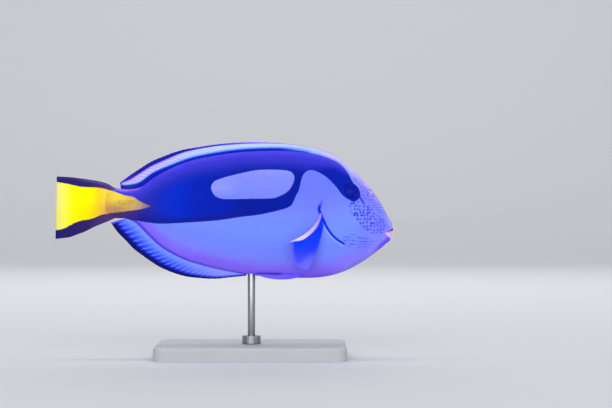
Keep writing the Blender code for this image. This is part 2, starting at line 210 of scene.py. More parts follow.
class Paint:
    # a material while its nodes are being joined, with its colours by name
    def __init__(self, name, tones, roughness, specular=0.05, metallic=0.0):
        self.tones = tones
        self.material = bpy.data.materials.new(name)
        self.material.use_nodes = True
        self.nodes = self.material.node_tree.nodes
        self.shader = self.nodes["Principled BSDF"]
        self.set(self.shader, {"Roughness": roughness, "Specular IOR Level": specular, "Metallic": metallic})

    def set(self, node, inputs):
        # gives each input a value, or joins it to another node's output
        for name, value in inputs.items():
            if isinstance(value, bpy.types.NodeSocket):
                self.material.node_tree.links.new(value, node.inputs[name])
            else:
                node.inputs[name].default_value = value

    def node(self, kind, inputs, **settings):
        node = self.nodes.new("ShaderNode" + kind)
        for name, value in settings.items():
            setattr(node, name, value)
        self.set(node, inputs)
        return node

    def read(self, name):
        return self.node("Attribute", {}, attribute_name=name).outputs["Fac"]

    def place(self):
        return self.node("TexCoord", {}).outputs["Object"]

    def sideView(self):
        # x and z in millimetres, z above the belly, as the tables give them
        apart = self.node("SeparateXYZ", {0: self.place()}).outputs
        x, height = (self.calc("MULTIPLY", apart[name], 1 / mm) for name in "XZ")
        return x, self.calc("SUBTRACT", height, bellyHeight)

    def calc(self, kind, first, second=0.0):
        return self.node("Math", {0: first, 1: second}, operation=kind).outputs[0]

    def both(self, *shares):
        # the product of the shares
        whole = shares[0]
        for share in shares[1:]:
            whole = self.calc("MULTIPLY", whole, share)
        return whole

    def fade(self, value, low, high, start=0.0, end=1.0):
        inputs = {"Value": value, "From Min": low, "From Max": high, "To Min": start, "To Max": end}
        return self.node("MapRange", inputs, interpolation_type="SMOOTHSTEP").outputs[0]

    def blend(self, under, over, *shares):
        # one colour laid over another, as strongly as the product of the shares
        under, over = (tone(*self.tones[item]) if isinstance(item, str) else item for item in (under, over))
        return self.node("Mix", {0: self.both(*shares), 6: under, 7: over}, data_type="RGBA").outputs[2]

    def ramp(self, value, name):
        # colours by value, from tones that are given for some values from low to high
        places, shades = zip(*self.tones[name].items())
        low, span = places[0], places[-1] - places[0]
        node = self.node("ValToRGB", {0: self.calc("DIVIDE", self.calc("SUBTRACT", value, low), span)})
        stops = node.color_ramp.elements
        stops[0].color, stops[1].color = tone(*shades[0]), tone(*shades[-1])
        for place, shade in zip(places[1:-1], shades[1:-1]):
            stops.new((place - low) / span).color = tone(*shade)
        return node.outputs["Color"]

    def noise(self, scale, detail, stretch=(1, 1, 1)):
        vector = self.node("Mapping", {"Vector": self.place(), "Scale": stretch}).outputs[0]
        return self.node("TexNoise", {"Vector": vector, "Scale": scale, "Detail": detail}).outputs["Fac"]

    def strayed(self, value, scale, detail, width):
        # a value that wanders, by noise of this width
        stray = self.calc("SUBTRACT", self.noise(scale, detail), 0.5)
        return self.calc("ADD", value, self.calc("MULTIPLY", stray, width))

    def dots(self, spacing, randomness, x, z, wander):
        # distance from the nearest of many uneven dots, in spacings, on the side view
        flat = {"X": self.strayed(x, 290, 1, wander), "Y": self.strayed(z, 410, 1, wander)}
        flat = self.node("CombineXYZ", flat).outputs[0]
        inputs = {"Vector": flat, "Scale": 1 / spacing, "Randomness": randomness}
        return self.node("TexVoronoi", inputs, voronoi_dimensions="2D").outputs["Distance"]

    def lines(self, spacing, wander, degrees=0):
        # 0 to 1 across wavy lines that run level, or turned up by an angle
        rotation = (0, math.radians(degrees), 0)
        vector = self.node("Mapping", {"Vector": self.place(), "Rotation": rotation}).outputs[0]
        scale = math.pi / 10 / (spacing * mm)  # at scale 1 its waves are pi / 10 long
        inputs = {"Vector": vector, "Scale": scale, "Distortion": wander, "Detail": 1.0, "Detail Scale": 1.2}
        return self.node("TexWave", inputs, bands_direction="Z").outputs["Fac"]

    def relief(self, height, distance, strength):
        node = self.node("Bump", {"Height": height, "Distance": distance, "Strength": strength})
        self.set(self.shader, {"Normal": node.outputs[0]})

    def colour(self, value):
        self.set(self.shader, {"Base Color": value})
        return self.material


# the body's form

bodyForm = {
    "back": [
        (-71.6, 50.5), (-70.0, 52.6), (-65.9, 54.0), (-57.1, 53.6), (-50.0, 55.1), (-41.1, 61.3),
        (-26.3, 68.8), (-2.6, 74.5), (22.3, 76.7), (44.8, 76.1), (62.5, 72.7), (74.4, 66.5), (83.8, 57.6),
        (92.1, 46.4), (97.4, 36.6), (99.5, 31.8), (99.9, 29.9),
    ],
    "belly": [
        (-71.6, 39.8), (-70.0, 37.8), (-65.9, 36.3), (-57.1, 35.5), (-51.1, 33.0), (-45.2, 27.1),
        (-38.1, 20.3), (-26.3, 13.2), (-11.5, 8.0), (6.3, 3.9), (18.1, 2.1), (35.9, 1.1), (47.7, 0.6),
        (59.6, 1.4), (71.4, 4.7), (83.2, 11.2), (90.9, 16.8), (95.7, 20.9), (98.2, 23.4), (98.8, 25.0),
        (98.95, 26.1),
    ],
    "halfThickness": [
        (-71.6, 0.3), (-70.0, 1.3), (-65.9, 2.6), (-57.1, 3.9), (-50.0, 4.9), (-38.0, 6.6), (-20.0, 9.2),
        (0.0, 11.4), (22.0, 12.9), (44.8, 13.4), (58.0, 12.8), (70.0, 11.4), (80.0, 9.6), (88.0, 7.4),
        (94.0, 5.2), (97.5, 3.8), (99.3, 2.6), (99.9, 0.9),
    ],
    "thickestHeight": [
        (-71.6, 45.2), (-65.9, 45.2), (-50.0, 44.3), (-20.0, 41.0), (22.0, 38.5), (58.0, 37.0),
        (80.0, 34.0), (88.0, 31.3), (92.0, 29.2), (94.8, 27.7),
    ],
    "sharpness": 1.12,  # over 1 makes back and keel narrower
    "middleHalf": (12.8, 37.0),  # half the width and height of the section that sets the segments
    "inset": 0.25,  # the skin lies this far inside the solids
    "segments": 360,
    "ringGaps": [
        (-71.6, 0.5), (-64.0, 1.0), (-55.0, 1.15), (40.0, 1.15), (52.0, 0.5), (64.0, 0.42), (88.0, 0.4),
    ],
    "snoutStart": 88.0,
    "tailPoint": (-71.8, 45.2),
}
mouthForm = {
    "corner": (94.8, 27.7),
    "upperTip": (99.9, 29.3),
    "lowerTip": (98.95, 27.0),
    "snoutRings": 30,
    "turnPower": 1.6,  # over 1 leaves the closing of the snout's rings to the last ones
    "ringGap": 0.36,  # about what lies between two of them
    "lipRings": 5,
    "lipRadius": 0.55,
    "lipSwell": 0.18,
    "lipCrease": 0.1,
    "liningRings": 7,
    "throat": (90.6, 27.9),
}


def section(x):
    names = ("back", "belly", "thickestHeight", "halfThickness")
    return [smoothLine(bodyForm[name], x) for name in names]


def flankDepth(x, z):
    # half the body's thickness at (x, z)
    top, bottom, middle, half = section(x)
    reach = np.where(z > middle, top - middle, middle - bottom)
    height = np.clip(np.abs(z - middle) / reach, 0, 1)
    return half * (1 - height**2) ** (bodyForm["sharpness"] / 2)


def sharpSine(turn):
    return np.sign(np.sin(turn)) * np.abs(np.sin(turn)) ** bodyForm["sharpness"]


def roundSection(x, turn):
    # y and z on the body at an angle from the back
    top, bottom, middle, half = section(x)
    reach = np.where(np.cos(turn) > 0, top - middle, middle - bottom)
    return half * sharpSine(turn), middle + reach * np.cos(turn)


def evenTurns(count):
    # angles round a section of the middle of the body that split its girth evenly
    halfWidth, halfHeight = bodyForm["middleHalf"]
    fine = np.linspace(0, 2 * math.pi, fineSteps + 1)
    girth = runningLength(np.stack([halfWidth * sharpSine(fine), halfHeight * np.cos(fine)], 1))
    return np.interp(np.arange(count) / count * girth[-1], girth, fine)


def ringPlaces():
    # x of each ring from the tail to the start of the snout, closer together on the head
    spots, gaps = np.array(bodyForm["ringGaps"]).T
    fine = np.linspace(spots[0], bodyForm["snoutStart"], fineSteps)
    count = np.concatenate([[0], np.cumsum(np.diff(fine) / np.interp(fine[1:], spots, gaps))])
    return np.interp(np.linspace(0, count[-1], int(count[-1]) + 1), count, fine)


def snoutRings(turns):
    # the snout's rings lean forward until they meet the edge of the lips
    sine, upper = np.sin(turns), np.cos(turns) > 0
    halfThickness, power, start = (bodyForm[name] for name in ("halfThickness", "sharpness", "snoutStart"))
    cornerX, cornerZ = mouthForm["corner"]
    tipX, tipZ = (np.where(upper, *pair) for pair in zip(mouthForm["upperTip"], mouthForm["lowerTip"]))
    stretch = (mouthForm["upperTip"][0] - cornerX) / (tipX - cornerX)  # the lower jaw is shorter

    table = np.linspace(cornerX, mouthForm["upperTip"][0], 300)
    widths = smoothLine(halfThickness, table)
    rimWidth = widths[0] * np.abs(sine)
    rimX = np.interp(rimWidth, widths[::-1], table[::-1])
    rimTurn = np.arcsin(np.clip(rimWidth / smoothLine(halfThickness, rimX), 0, 1) ** (1 / power))
    rimX = cornerX + (rimX - cornerX) / stretch
    foldTurn = np.arccos(np.clip(np.abs(np.cos(turns)), 0, 1))
    rings = []
    for step in np.linspace(0, 1, mouthForm["snoutRings"] + 1)[1:]:
        x = mix((start, rimX), step)
        turn = mix((foldTurn, rimTurn), step ** mouthForm["turnPower"])
        top, bottom, middle, _ = section(x)
        middle = middle + (tipZ - cornerZ) * np.clip((x - cornerX) / (tipX - cornerX), 0, 1)
        half = smoothLine(halfThickness, np.where(x > cornerX, cornerX + (x - cornerX) * stretch, x))
        reach = np.where(upper, top - middle, bottom - middle)
        rings.append((x, half * np.sign(sine) * np.sin(turn) ** power, middle + reach * np.cos(turn)))
    return rings


def mouthRings(rim, turns):
    # the lips roll inwards from their edge, and the lining closes at the throat
    x, y, z = rim
    throatX, throatZ = mouthForm["throat"]
    inX, inY = throatX - x, -y
    size = np.maximum(np.hypot(inX, inY), 0.1)
    radius = mouthForm["lipRadius"] * np.sqrt(np.abs(np.cos(turns)))
    down = np.where(np.cos(turns) > 0, -radius, radius)
    rings = []
    for step in np.linspace(0, math.pi / 2, mouthForm["lipRings"] + 1)[1:]:
        inward = radius * (1 - math.cos(step)) / size
        rings.append((x + inX * inward, y + inY * inward, z + down * math.sin(step)))
    x, y, z = rings[-1]
    for step in np.linspace(0, 1, mouthForm["liningRings"] + 1)[1:-1]:
        rings.append((mix((x, throatX), step), y * (1 - step), mix((z, throatZ), step)))
    return rings


def bodyRings():
    # points (x, y, z) by ring and segment, from the tail's end over the lips into the mouth
    turns = evenTurns(bodyForm["segments"])
    rings = [(np.full_like(turns, x), *roundSection(x, turns)) for x in ringPlaces()]
    rings += snoutRings(turns)
    rings += mouthRings(rings[-1], turns)
    return np.array(rings)


# markings, as closed outlines seen from the side

markings = {
    "dark": [
        (-57.1, 34.8), (-38.1, 33.0), (-20.0, 33.8), (-2.6, 35.1), (9.2, 36.9), (21.1, 38.4), (32.9, 41.0),
        (37.7, 42.5), (40.0, 44.2), (42.4, 49.3), (44.2, 52.9), (45.6, 58.8), (46.5, 61.4), (48.3, 63.5),
        (50.7, 64.5), (53.6, 64.1), (59.6, 60.9), (65.5, 55.2), (70.2, 49.3), (74.4, 46.6), (76.1, 45.9),
        (78.5, 46.9), (80.0, 48.7), (80.3, 51.1), (79.4, 53.5), (77.9, 55.5), (76.1, 57.2), (74.9, 59.7),
        (71.8, 64.9), (68.6, 68.1), (65.5, 70.1), (61.5, 71.8), (56.6, 73.5), (52.0, 74.6), (47.5, 75.8),
        (40.0, 80.0), (0.0, 90.0), (-60.0, 80.0), (-80.0, 58.0), (-80.0, 31.0), (-66.0, 32.0),
    ],
    "window": [
        (-7.3, 54.3), (-6.7, 56.4), (-5.0, 58.2), (-1.4, 59.6), (3.3, 61.0), (15.2, 63.8), (21.1, 64.6),
        (27.0, 64.8), (32.9, 64.6), (37.7, 64.1), (40.2, 62.9), (41.4, 60.6), (41.2, 58.2), (40.0, 55.2),
        (38.2, 52.6), (35.9, 50.8), (32.9, 49.3), (28.8, 48.0), (15.2, 47.7), (3.3, 47.5), (-1.4, 47.8),
        (-4.8, 49.3), (-6.6, 51.7),
    ],
    "yellow": [
        (-99.1, 57.6), (-91.4, 56.1), (-85.5, 54.9), (-79.6, 54.5), (-73.1, 54.0), (-68.3, 52.9),
        (-63.6, 51.4), (-58.3, 49.6), (-53.5, 48.7), (-50.0, 46.4), (-47.0, 44.9), (-43.2, 43.3),
        (-47.6, 42.0), (-51.7, 41.1), (-55.9, 40.6), (-63.0, 39.7), (-71.3, 38.5), (-76.6, 36.6),
        (-79.6, 35.7), (-85.5, 34.6), (-91.4, 32.1), (-94.4, 30.4), (-99.1, 29.2), (-106.0, 29.0),
        (-106.0, 58.0),
    ],
    "freckles": [
        (73.8, 45.2), (77.6, 47.0), (80.6, 44.9), (84.6, 43.6), (88.2, 40.6), (91.6, 37.4), (94.4, 35.4),
        (95.2, 31.8), (94.2, 28.6), (92.4, 26.4), (89.0, 26.6), (85.0, 28.4), (81.8, 31.0), (79.0, 33.8),
        (76.4, 37.0), (74.3, 40.6),
    ],
    "snoutLines": [
        (84.4, 47.0), (90.5, 47.6), (94.2, 42.6), (96.4, 38.2), (92.4, 37.8), (88.4, 41.2), (84.8, 43.6),
    ],
    "foreheadDots": [
        (75.6, 59.6), (77.4, 63.0), (83.4, 57.8), (90.2, 48.2), (84.6, 46.8), (81.0, 48.8), (80.9, 54.4),
    ],
    "mouthLines": [(88.4, 36.2), (92.0, 36.6), (95.6, 33.2), (95.2, 28.8), (92.0, 27.2), (89.0, 29.4)],
    "chinLines": [
        (68.6, 25.6), (75.0, 27.4), (82.0, 25.8), (88.4, 24.6), (89.0, 21.4), (84.0, 18.4), (76.6, 17.6),
        (71.4, 20.4),
    ],
    "lowerLip": [
        (95.0, 27.6), (96.4, 28.1), (99.9, 28.2), (100.4, 25.6), (99.4, 23.6), (98.3, 24.0), (96.8, 25.6),
    ],
    "lipShade": [(96.0, 27.9), (97.8, 29.1), (99.2, 30.2), (101.0, 30.4), (101.0, 28.3), (98.0, 28.0)],
}
gillLine = [
    (58.6, 47.4), (57.1, 44.2), (56.3, 41.6), (57.0, 39.3), (58.8, 35.1), (60.8, 30.9), (63.8, 26.6),
    (67.5, 23.3), (72.0, 20.6),
]
nostrilLine = [(79.6, 49.2), (81.2, 46.9), (82.8, 44.4)]
nostrilPink = (80.7, 46.5)
eyeForm = {
    "place": (75.2, 52.3),
    "radius": 4.7,
    "halfDepth": 2.65,
    "sink": 1.5,  # from the solid's flank, so from the skin it is the inset less
    "seenRadius": 4.2,
    "pupil": 2.35,
    "dip": 0.05,  # of the ring round the pupil
    "arcWay": (0.9, -0.43),  # to the middle of its reddish arc
}
spineForm = {"place": (-58.6, 45.4), "length": 7.6, "height": 1.3, "thickness": 0.9, "sink": 0.05}
foldForm = {
    "coverLift": 0.42,  # how far the gill cover's edge stands up, and how far forward that reaches
    "coverReach": 3.0,
    "slitDepth": 0.4,
    "slitWidth": 0.45,
    "nostrilDepth": 0.28,
    "nostrilWidth": 0.45,
    "spineGrooveDepth": 0.45,
    "spineGrooveWidths": (4.6, 1.0),  # along and up
    "socketDepth": 2.2,
    "socketRim": 0.16,
    "browLift": 0.3,
    "browCrease": 0.2,
}
slitForm = {
    "middle": -0.35,  # of the gill slit's colour, beside its line
    "fades": (1.25, 0.55),  # from the middle, outside and inside
    "edgeMiddle": -1.35,  # of the pale line behind it, a painted highlight on the gill cover's edge
    "edgeWidth": 0.35,
}


def markValues(x, z):
    # the marking notes that the skin and the scales share, at these places seen from the side
    values = {name: insideBy(x, z, marks) for name, marks in markings.items()}
    top, bottom, _, _ = section(x)
    values["backGap"], values["bellyGap"] = top - z, z - bottom
    gap, share = besideLine(x, z, gillLine)
    slit = fade(share, 0.0, 0.04) * fade(share, 1.0, 0.94) * mix((0.35, 1.0), fade(share, 0.07, 0.15))
    values["slit"] = slit * fade(np.abs(gap - slitForm["middle"]), *slitForm["fades"])
    # the pale line behind the gill slit is a painted highlight on the gill cover's edge
    edge = bump(gap, slitForm["edgeMiddle"], slitForm["edgeWidth"])
    values["slitEdgeHighlight"] = slit * fade(share, 0.4, 0.6) * edge
    gap, share = besideLine(x, z, nostrilLine)
    values["nostril"] = bump(gap, 0, 0.62) * fade(share, 0.0, 0.08) * fade(share, 1.0, 0.92)
    pinkX, pinkZ = nostrilPink
    values["nostrilPink"] = bump(np.hypot(x - pinkX, z - pinkZ), 0, 0.5)
    return values


def surfaceAt(place, side):
    # the point of the solid's flank at (x, z), and the way it faces
    x, z = place
    along = (flankDepth(x + 1, z) - flankDepth(x - 1, z)) / 2
    up = (flankDepth(x, z + 1) - flankDepth(x, z - 1)) / 2
    facing = Vector((-float(along), side, -float(up))).normalized()
    return Vector((x, side * float(flankDepth(x, z)), z)), facing


def relief(points):
    # how far the face's folds push the skin out here, and how far each point lies in an eye socket
    form = foldForm
    x, y, z = points.T
    gap, share = besideLine(x, z, gillLine)
    cover = form["coverLift"] * fade(gap, -0.25, 0.15) * np.exp(-np.maximum(gap, 0) / form["coverReach"])
    slit = form["slitDepth"] * bump(gap, -0.45, form["slitWidth"])
    push = fade(share, 0.0, 0.25) * fade(share, 1.0, 0.85) * (cover - slit)
    gap, share = besideLine(x, z, nostrilLine)
    nostril = bump(gap, 0, form["nostrilWidth"]) * fade(share, 0.0, 0.1) * fade(share, 1.0, 0.9)
    spineX, spineZ = spineForm["place"]
    wide, high = form["spineGrooveWidths"]
    groove = bump(z, spineZ, high) * bump(x, spineX + 0.5, wide)
    push -= form["nostrilDepth"] * nostril + form["spineGrooveDepth"] * groove
    socket = np.zeros_like(x)
    for _, side in sides:
        place, facing = surfaceAt(eyeForm["place"], side)
        away = points - np.array(place)
        away -= np.outer(away @ np.array(facing), np.array(facing))
        radius = np.linalg.norm(away, axis=1)
        fromRim = radius - eyeForm["seenRadius"]
        brow = form["browLift"] * bump(fromRim, 1.5, 0.55) - form["browCrease"] * bump(fromRim, 0.75, 0.25)
        change = fade(away[:, 2] / np.maximum(radius, 0.1), 0.2, 0.8) * brow
        change += form["socketRim"] * bump(fromRim, 0.55, 0.4)
        change -= form["socketDepth"] * fade(fromRim, 0.25, -0.35)
        near = (y * side > 0) & (radius < 9)
        push += np.where(near, change, 0)
        socket = np.maximum(socket, np.where(near, fade(fromRim, 0.75, 0.15), 0))
    return push, socket


def makeSkin(material):
    rings = bodyRings()
    count, segments = len(rings) + 1, bodyForm["segments"]
    skin = started("skin", "uv_sphere", segments=segments, ring_count=count, radius=1.0)
    mesh = skin.data
    ball = readPoints(mesh)
    ring = np.rint(np.arccos(np.clip(ball[:, 2], -1, 1)) / math.pi * count).astype(int)
    turn = np.rint(np.arctan2(ball[:, 1], ball[:, 0]) / (2 * math.pi) * segments).astype(int) % segments
    grid = np.concatenate([rings[:1], rings, rings[-1:]])
    for row, (x, z) in ((0, bodyForm["tailPoint"]), (-1, mouthForm["throat"])):
        grid[row] = np.array([x, 0, z])[:, None]
    points = grid[ring, :, turn]
    writePoints(mesh, *points.T)
    turnedOut(skin)

    # relief, pushed along the way the skin faces
    firstLip = len(ringPlaces()) + mouthForm["snoutRings"] + 1
    outside = ring < firstLip
    folds, socket = relief(points)
    toRim = (firstLip - 1 - ring) * mouthForm["ringGap"]  # distance back from the lips' edge
    lips = mouthForm["lipSwell"] * bump(toRim, 0.9, 0.8) - mouthForm["lipCrease"] * bump(toRim, 2.6, 0.6)
    push = np.where(outside, folds - bodyForm["inset"] + fade(toRim, 5.0, 3.0) * lips, 0.0)
    notes = markValues(points[:, 0], points[:, 2])
    notes["socket"] = socket * outside
    notes["mouth"] = np.where(outside, 0.0, fade(ring - firstLip, 1, 6))
    writeNotes(mesh, notes)
    writePoints(mesh, *(points + readPoints(mesh, "normal") * push[:, None]).T)
    finish(skin, material, "skin", "head", "upper_jaw", "lower_jaw", "gill_cover_left", "gill_cover_right",
           "trunk", "tail_stalk")
    print("skin made:", len(mesh.vertices), "points")


skinTones = {
    "flank": {  # by height above the keel
        0: (120, 88, 250), 3: (136, 104, 254), 6: (134, 112, 255), 9: (128, 131, 255),
        12: (121, 137, 255), 18: (117, 139, 255), 28: (118, 147, 255), 37: (119, 140, 255),
        42: (114, 130, 255), 52: (108, 122, 255),
    },
    "chin": (140, 129, 255),
    "snout": (120, 126, 253),
    # the forehead's lilac: partly its own pale colour, partly a painted highlight that is palest right at the
    # profile
    "paleForeheadWithRimHighlight": {
        0: (200, 186, 253), 2.6: (188, 176, 253), 4.4: (152, 146, 252), 6.5: (126, 122, 248),
        9: (116, 120, 250),
    },
    "fringe": (138, 166, 255),
    # the window grows lighter towards its top, a painted highlight from the light above
    "window": {47: (118, 136, 252), 53: (128, 141, 254), 60: (132, 142, 254), 65: (142, 151, 254)},
    "dark": {
        -62: (70, 51, 118), -54: (60, 46, 130), -46: (46, 43, 164), -38: (16, 41, 194), -28: (0, 42, 204),
        -16: (0, 34, 184), 0: (0, 32, 178), 12: (0, 26, 154), 44: (0, 26, 164), 70: (2, 32, 172),
    },
    # a painted highlight along the back, palest right at the back's edge
    "darkBackHighlight": {0.9: (84, 72, 234), 4: (62, 58, 212), 9: (40, 48, 192), 15: (26, 43, 188)},
    "darkEdge": (18, 28, 146),
    "backLine": (6, 20, 158),
    # a painted highlight on the top of the tail stalk
    "stalkTopHighlight": (162, 128, 240),
    "analLine": (84, 66, 216),
    # a painted violet highlight along the belly's edge above the anal fin
    "analBandHighlight": (142, 114, 255),
    "wedge": {
        -74: (252, 206, 40), -70: (246, 210, 74), -64: (254, 224, 70), -58: (240, 210, 74),
        -54: (222, 184, 92), -51: (208, 170, 112), -48: (184, 148, 124), -46: (158, 128, 132),
        -43.5: (112, 92, 150),
    },
    "wedgeLow": {
        -78: (250, 222, 10), -74: (232, 184, 52), -70: (208, 158, 86), -64: (192, 146, 98),
        -58: (206, 164, 90), -54: (208, 170, 104), -51: (200, 162, 120), -48: (178, 144, 128),
        -43.5: (112, 92, 150),
    },
    "windowGlow": (150, 158, 255),
    "freckle": (44, 44, 222),
    "chinLine": (66, 76, 238),
    "underChin": (104, 78, 250),
    "slit": (0, 34, 236),
    # a painted highlight behind the gill slit
    "slitEdgeHighlight": (150, 192, 255),
    "nostril": (20, 46, 225),
    "nostrilPink": (150, 30, 225),
    "lowerLip": (236, 178, 254),
    "lipShade": (112, 34, 176),
    "mouth": (190, 70, 205),
    "socket": (2, 24, 152),
    "mottle": (128, 150, 255),
}


def paintSkin(name):
    paint = Paint(name, skinTones, 0.5)
    fade, both, blend, read = paint.fade, paint.both, paint.blend, paint.read
    x, z = paint.sideView()
    bellyGap, backGap = read("bellyGap"), read("backGap")

    # pale flank, violet keel, and lilac forehead whose palest strip along the profile is a painted highlight
    base = blend(paint.ramp(bellyGap, "flank"), "chin", fade(x, 58, 74), fade(bellyGap, 11, 5))
    base = blend(base, "snout", fade(x, 76, 86), fade(bellyGap, 3, 8))
    base = blend(base, "underChin", fade(x, 87, 93), fade(bellyGap, 5, 2))
    base = blend(base, "mottle", fade(paint.noise(26, 1), 0.42, 0.7, 0, 0.15))
    paleForeheadWithRimHighlight = (fade(backGap, 9.5, 5.5), fade(x, 46, 54), fade(x, 92, 85, 0.35, 1))
    base = blend(base, paint.ramp(backGap, "paleForeheadWithRimHighlight"), *paleForeheadWithRimHighlight)
    base = blend(base, "fringe", fade(read("dark"), -1.5, -0.2), fade(backGap, 9, 7), fade(x, 42, 48), 0.9)
    # a painted violet highlight above the anal fin's root, and a darker line at the belly's edge itself
    alongAnal = both(fade(x, 16, 8), fade(x, -56, -50))
    base = blend(base, "analBandHighlight", alongAnal, fade(bellyGap, 4.6, 2.4), 0.6)
    base = blend(base, "analLine", alongAnal, fade(bellyGap, 0.95, 0.55))

    # freckles, and fine lines on the snout, round the mouth and over the chin
    spots = both(fade(paint.dots(1.95, 0.5, x, z, 1.0), 0.46, 0.2), fade(read("freckles"), -0.6, 0.4))
    uneven = fade(paint.noise(260, 1), 0.35, 0.6, 0.7, 1.0)
    base = blend(base, "freckle", spots, uneven, fade(x, 92, 86, 0.6, 1))
    small = both(fade(paint.dots(1.6, 0.8, x, z, 2.0), 0.46, 0.12), fade(read("foreheadDots"), -1.0, 1.5))
    base = blend(base, "freckle", small, uneven, fade(z, 56, 52, 0.35, 0.85))
    blotches = both(fade(paint.noise(900, 1), 0.48, 0.75), fade(read("foreheadDots"), -0.8, 2.5))
    base = blend(base, "freckle", blotches, 0.4)
    for area, lines in (("snoutLines", paint.lines(1.5, 2.0)), ("mouthLines", paint.lines(1.4, 4.0, 58))):
        base = blend(base, "freckle", fade(lines, 0.5, 0.1), fade(read(area), -0.4, 1.2), 0.42)
    chin = both(fade(paint.lines(1.9, 4.5, -4), 0.42, 0.06), fade(read("chinLines"), -0.3, 1.8))
    base = blend(base, "chinLine", chin, fade(paint.noise(320, 1), 0.36, 0.56), 0.8)

    # dark marking, brighter amidships, with a painted purple highlight along the back
    backHighlightShare = both(fade(backGap, fade(x, 50, 66, 15, 8), fade(x, 50, 66, 6, 3)), fade(x, 77, 72))
    dark = blend(paint.ramp(x, "dark"), paint.ramp(backGap, "darkBackHighlight"), backHighlightShare)
    lowEdge = both(fade(read("dark"), fade(x, -24, -46, 5.0, 10.0), 0.5), fade(bellyGap, 48, 36))
    dark = blend(dark, "darkEdge", lowEdge, fade(x, 24, 0), fade(x, -56, -48), 0.85)
    # painted highlight, pale violet, along the top of the tail stalk
    dark = blend(dark, "stalkTopHighlight", fade(x, -47, -52), fade(backGap, 2.3, 0.6))
    dark = blend(dark, "backLine", fade(backGap, 0.9, 0.4), fade(x, 54, 46), fade(x, -57, -52))
    wedge = blend(paint.ramp(x, "wedge"), paint.ramp(x, "wedgeLow"), fade(z, 48.5, 41.5))
    # the window's ramp by height is lighter at the top, a painted highlight
    window = blend(paint.ramp(z, "window"), "windowGlow", fade(x, 12, -3), fade(z, 48, 54), 0.7)

    whole, wobble = base, paint.strayed(0.0, 900, 2, 0.35)
    for area, colours, width in (("dark", dark, 0.28), ("window", window, 0.28), ("yellow", wedge, 0.4)):
        whole = blend(whole, colours, fade(paint.calc("ADD", read(area), wobble), -width, width))
    # dark blue lines of the gill slit and nostril, and the painted highlight behind the slit
    for mark in ("slit", "slitEdgeHighlight", "nostril"):
        whole = blend(whole, mark, read(mark))
    whole = blend(whole, "nostrilPink", read("nostrilPink"), 0.8)
    whole = blend(whole, "lowerLip", fade(read("lowerLip"), -0.3, 0.5))
    whole = blend(whole, "lipShade", fade(read("lipShade"), -0.2, 0.4))
    for mark in ("mouth", "socket"):
        whole = blend(whole, mark, read(mark))
    return paint.colour(whole)


# scales

scaleForm = {
    "from": -70.6,
    "to": 90.0,
    "length": 0.82,
    "width": 0.68,
    "sizes": [(-70.6, 0.62), (-66.0, 0.8), (-40.0, 1.0), (25.0, 1.0), (55.0, 0.8), (76.0, 0.62), (90.0, 0.5)],
    "overlap": 1.4,
    "stand": 0.035,  # how far the free edge stands off the skin
    "root": -0.05,  # how far the root's edge and the underside lie in the skin
    "underside": -0.2,
    "scatter": 0.1,
    "tilt": 0.008,
    "sway": 0.5,  # how far the columns wander from straight lines
    "buried": 0.1,  # how deep they sink where they end on the snout
    "buriedReach": 7.0,
    "eyeClear": 5.1,  # none lie nearer than this to the eye's middle
    "slitClear": 0.75,
    "parts": (("rear", -71.5, 2.0), ("flank", 2.0, 48.0), ("head", 48.0, 91.0)),
    "patch": 0.003,
    "girthMost": 100.0,
    "markStep": 0.4,  # how far off the markings are read again, to learn how they change
}


def modelScale():
    # one scale, as (towards the tail, across, off the skin) of its points, and its faces
    model = started("model", "cone", vertices=6, radius1=1.0, radius2=0.0, depth=1.0, end_fill_type="TRIFAN")
    tail, across, off = readPoints(model.data).T * np.array([[1], [-1], [-1]])
    faces = np.array([face.vertices[:] for face in model.data.polygons])
    bpy.data.objects.remove(model)
    form = scaleForm
    reach, half = (0.5 * form["overlap"] * form[name] for name in ("length", "width"))
    onRim = np.hypot(tail, across) > 0.5
    rimHeight = np.where(tail > 0, form["stand"] * (0.7 + 0.3 * tail), form["root"])
    height = np.where(onRim, rimHeight, form["stand"] * 1.2)
    height = np.where(off < 0, form["underside"], height)
    return np.stack([tail * reach, across * half * np.where(tail > 0, 0.9, 1.0), height], 1), faces


def layScales():
    # roots by rows round the body: x, angle round the section, size, and way round from the middle
    form = scaleForm
    places, x, index = [], form["from"], 0
    turns = np.linspace(0.02, math.pi - 0.02, 900)  # almost from the back to the keel
    while x < form["to"]:
        size = float(smoothLine(form["sizes"], x))
        way = runningLength(np.stack(roundSection(x, turns), 1))
        way -= np.interp(math.pi / 2, turns, way)
        step = form["width"] * size
        rows = (np.arange(math.ceil(way[0] / step), int(way[-1] / step)) + 0.5 * (index % 2)) * step
        rows = rows + scatter.normal(0, form["scatter"], len(rows)) * step
        # two slow waves, so that the columns don't look ruled
        sway = np.sin(rows * 0.31 + x * 0.05) + np.sin(rows * 0.83 - x * 0.11 + 2) * 0.5
        stray = scatter.normal(0, form["scatter"], len(rows)) * form["length"]
        shifted = x + (form["sway"] * sway + stray) * size
        places.append(np.stack([shifted, np.interp(rows, way, turns), np.full(len(rows), size), rows], 1))
        x, index = x + form["length"] * size, index + 1
    return np.concatenate(places)


def unit(rows):
    return rows / np.linalg.norm(rows, axis=1)[:, None]


def lieOfBody(x, turn):
    # unit steps over the body towards the head and the back, and out of it
    behind, before = (np.stack([x + step, *roundSection(x + step, turn)], 1) for step in (-0.5, 0.5))
    lower, higher = (np.stack([x, *roundSection(x, turn + step)], 1) for step in (0.01, -0.01))
    along, up = unit(before - behind), unit(higher - lower)
    return along, up, unit(np.cross(up, along))


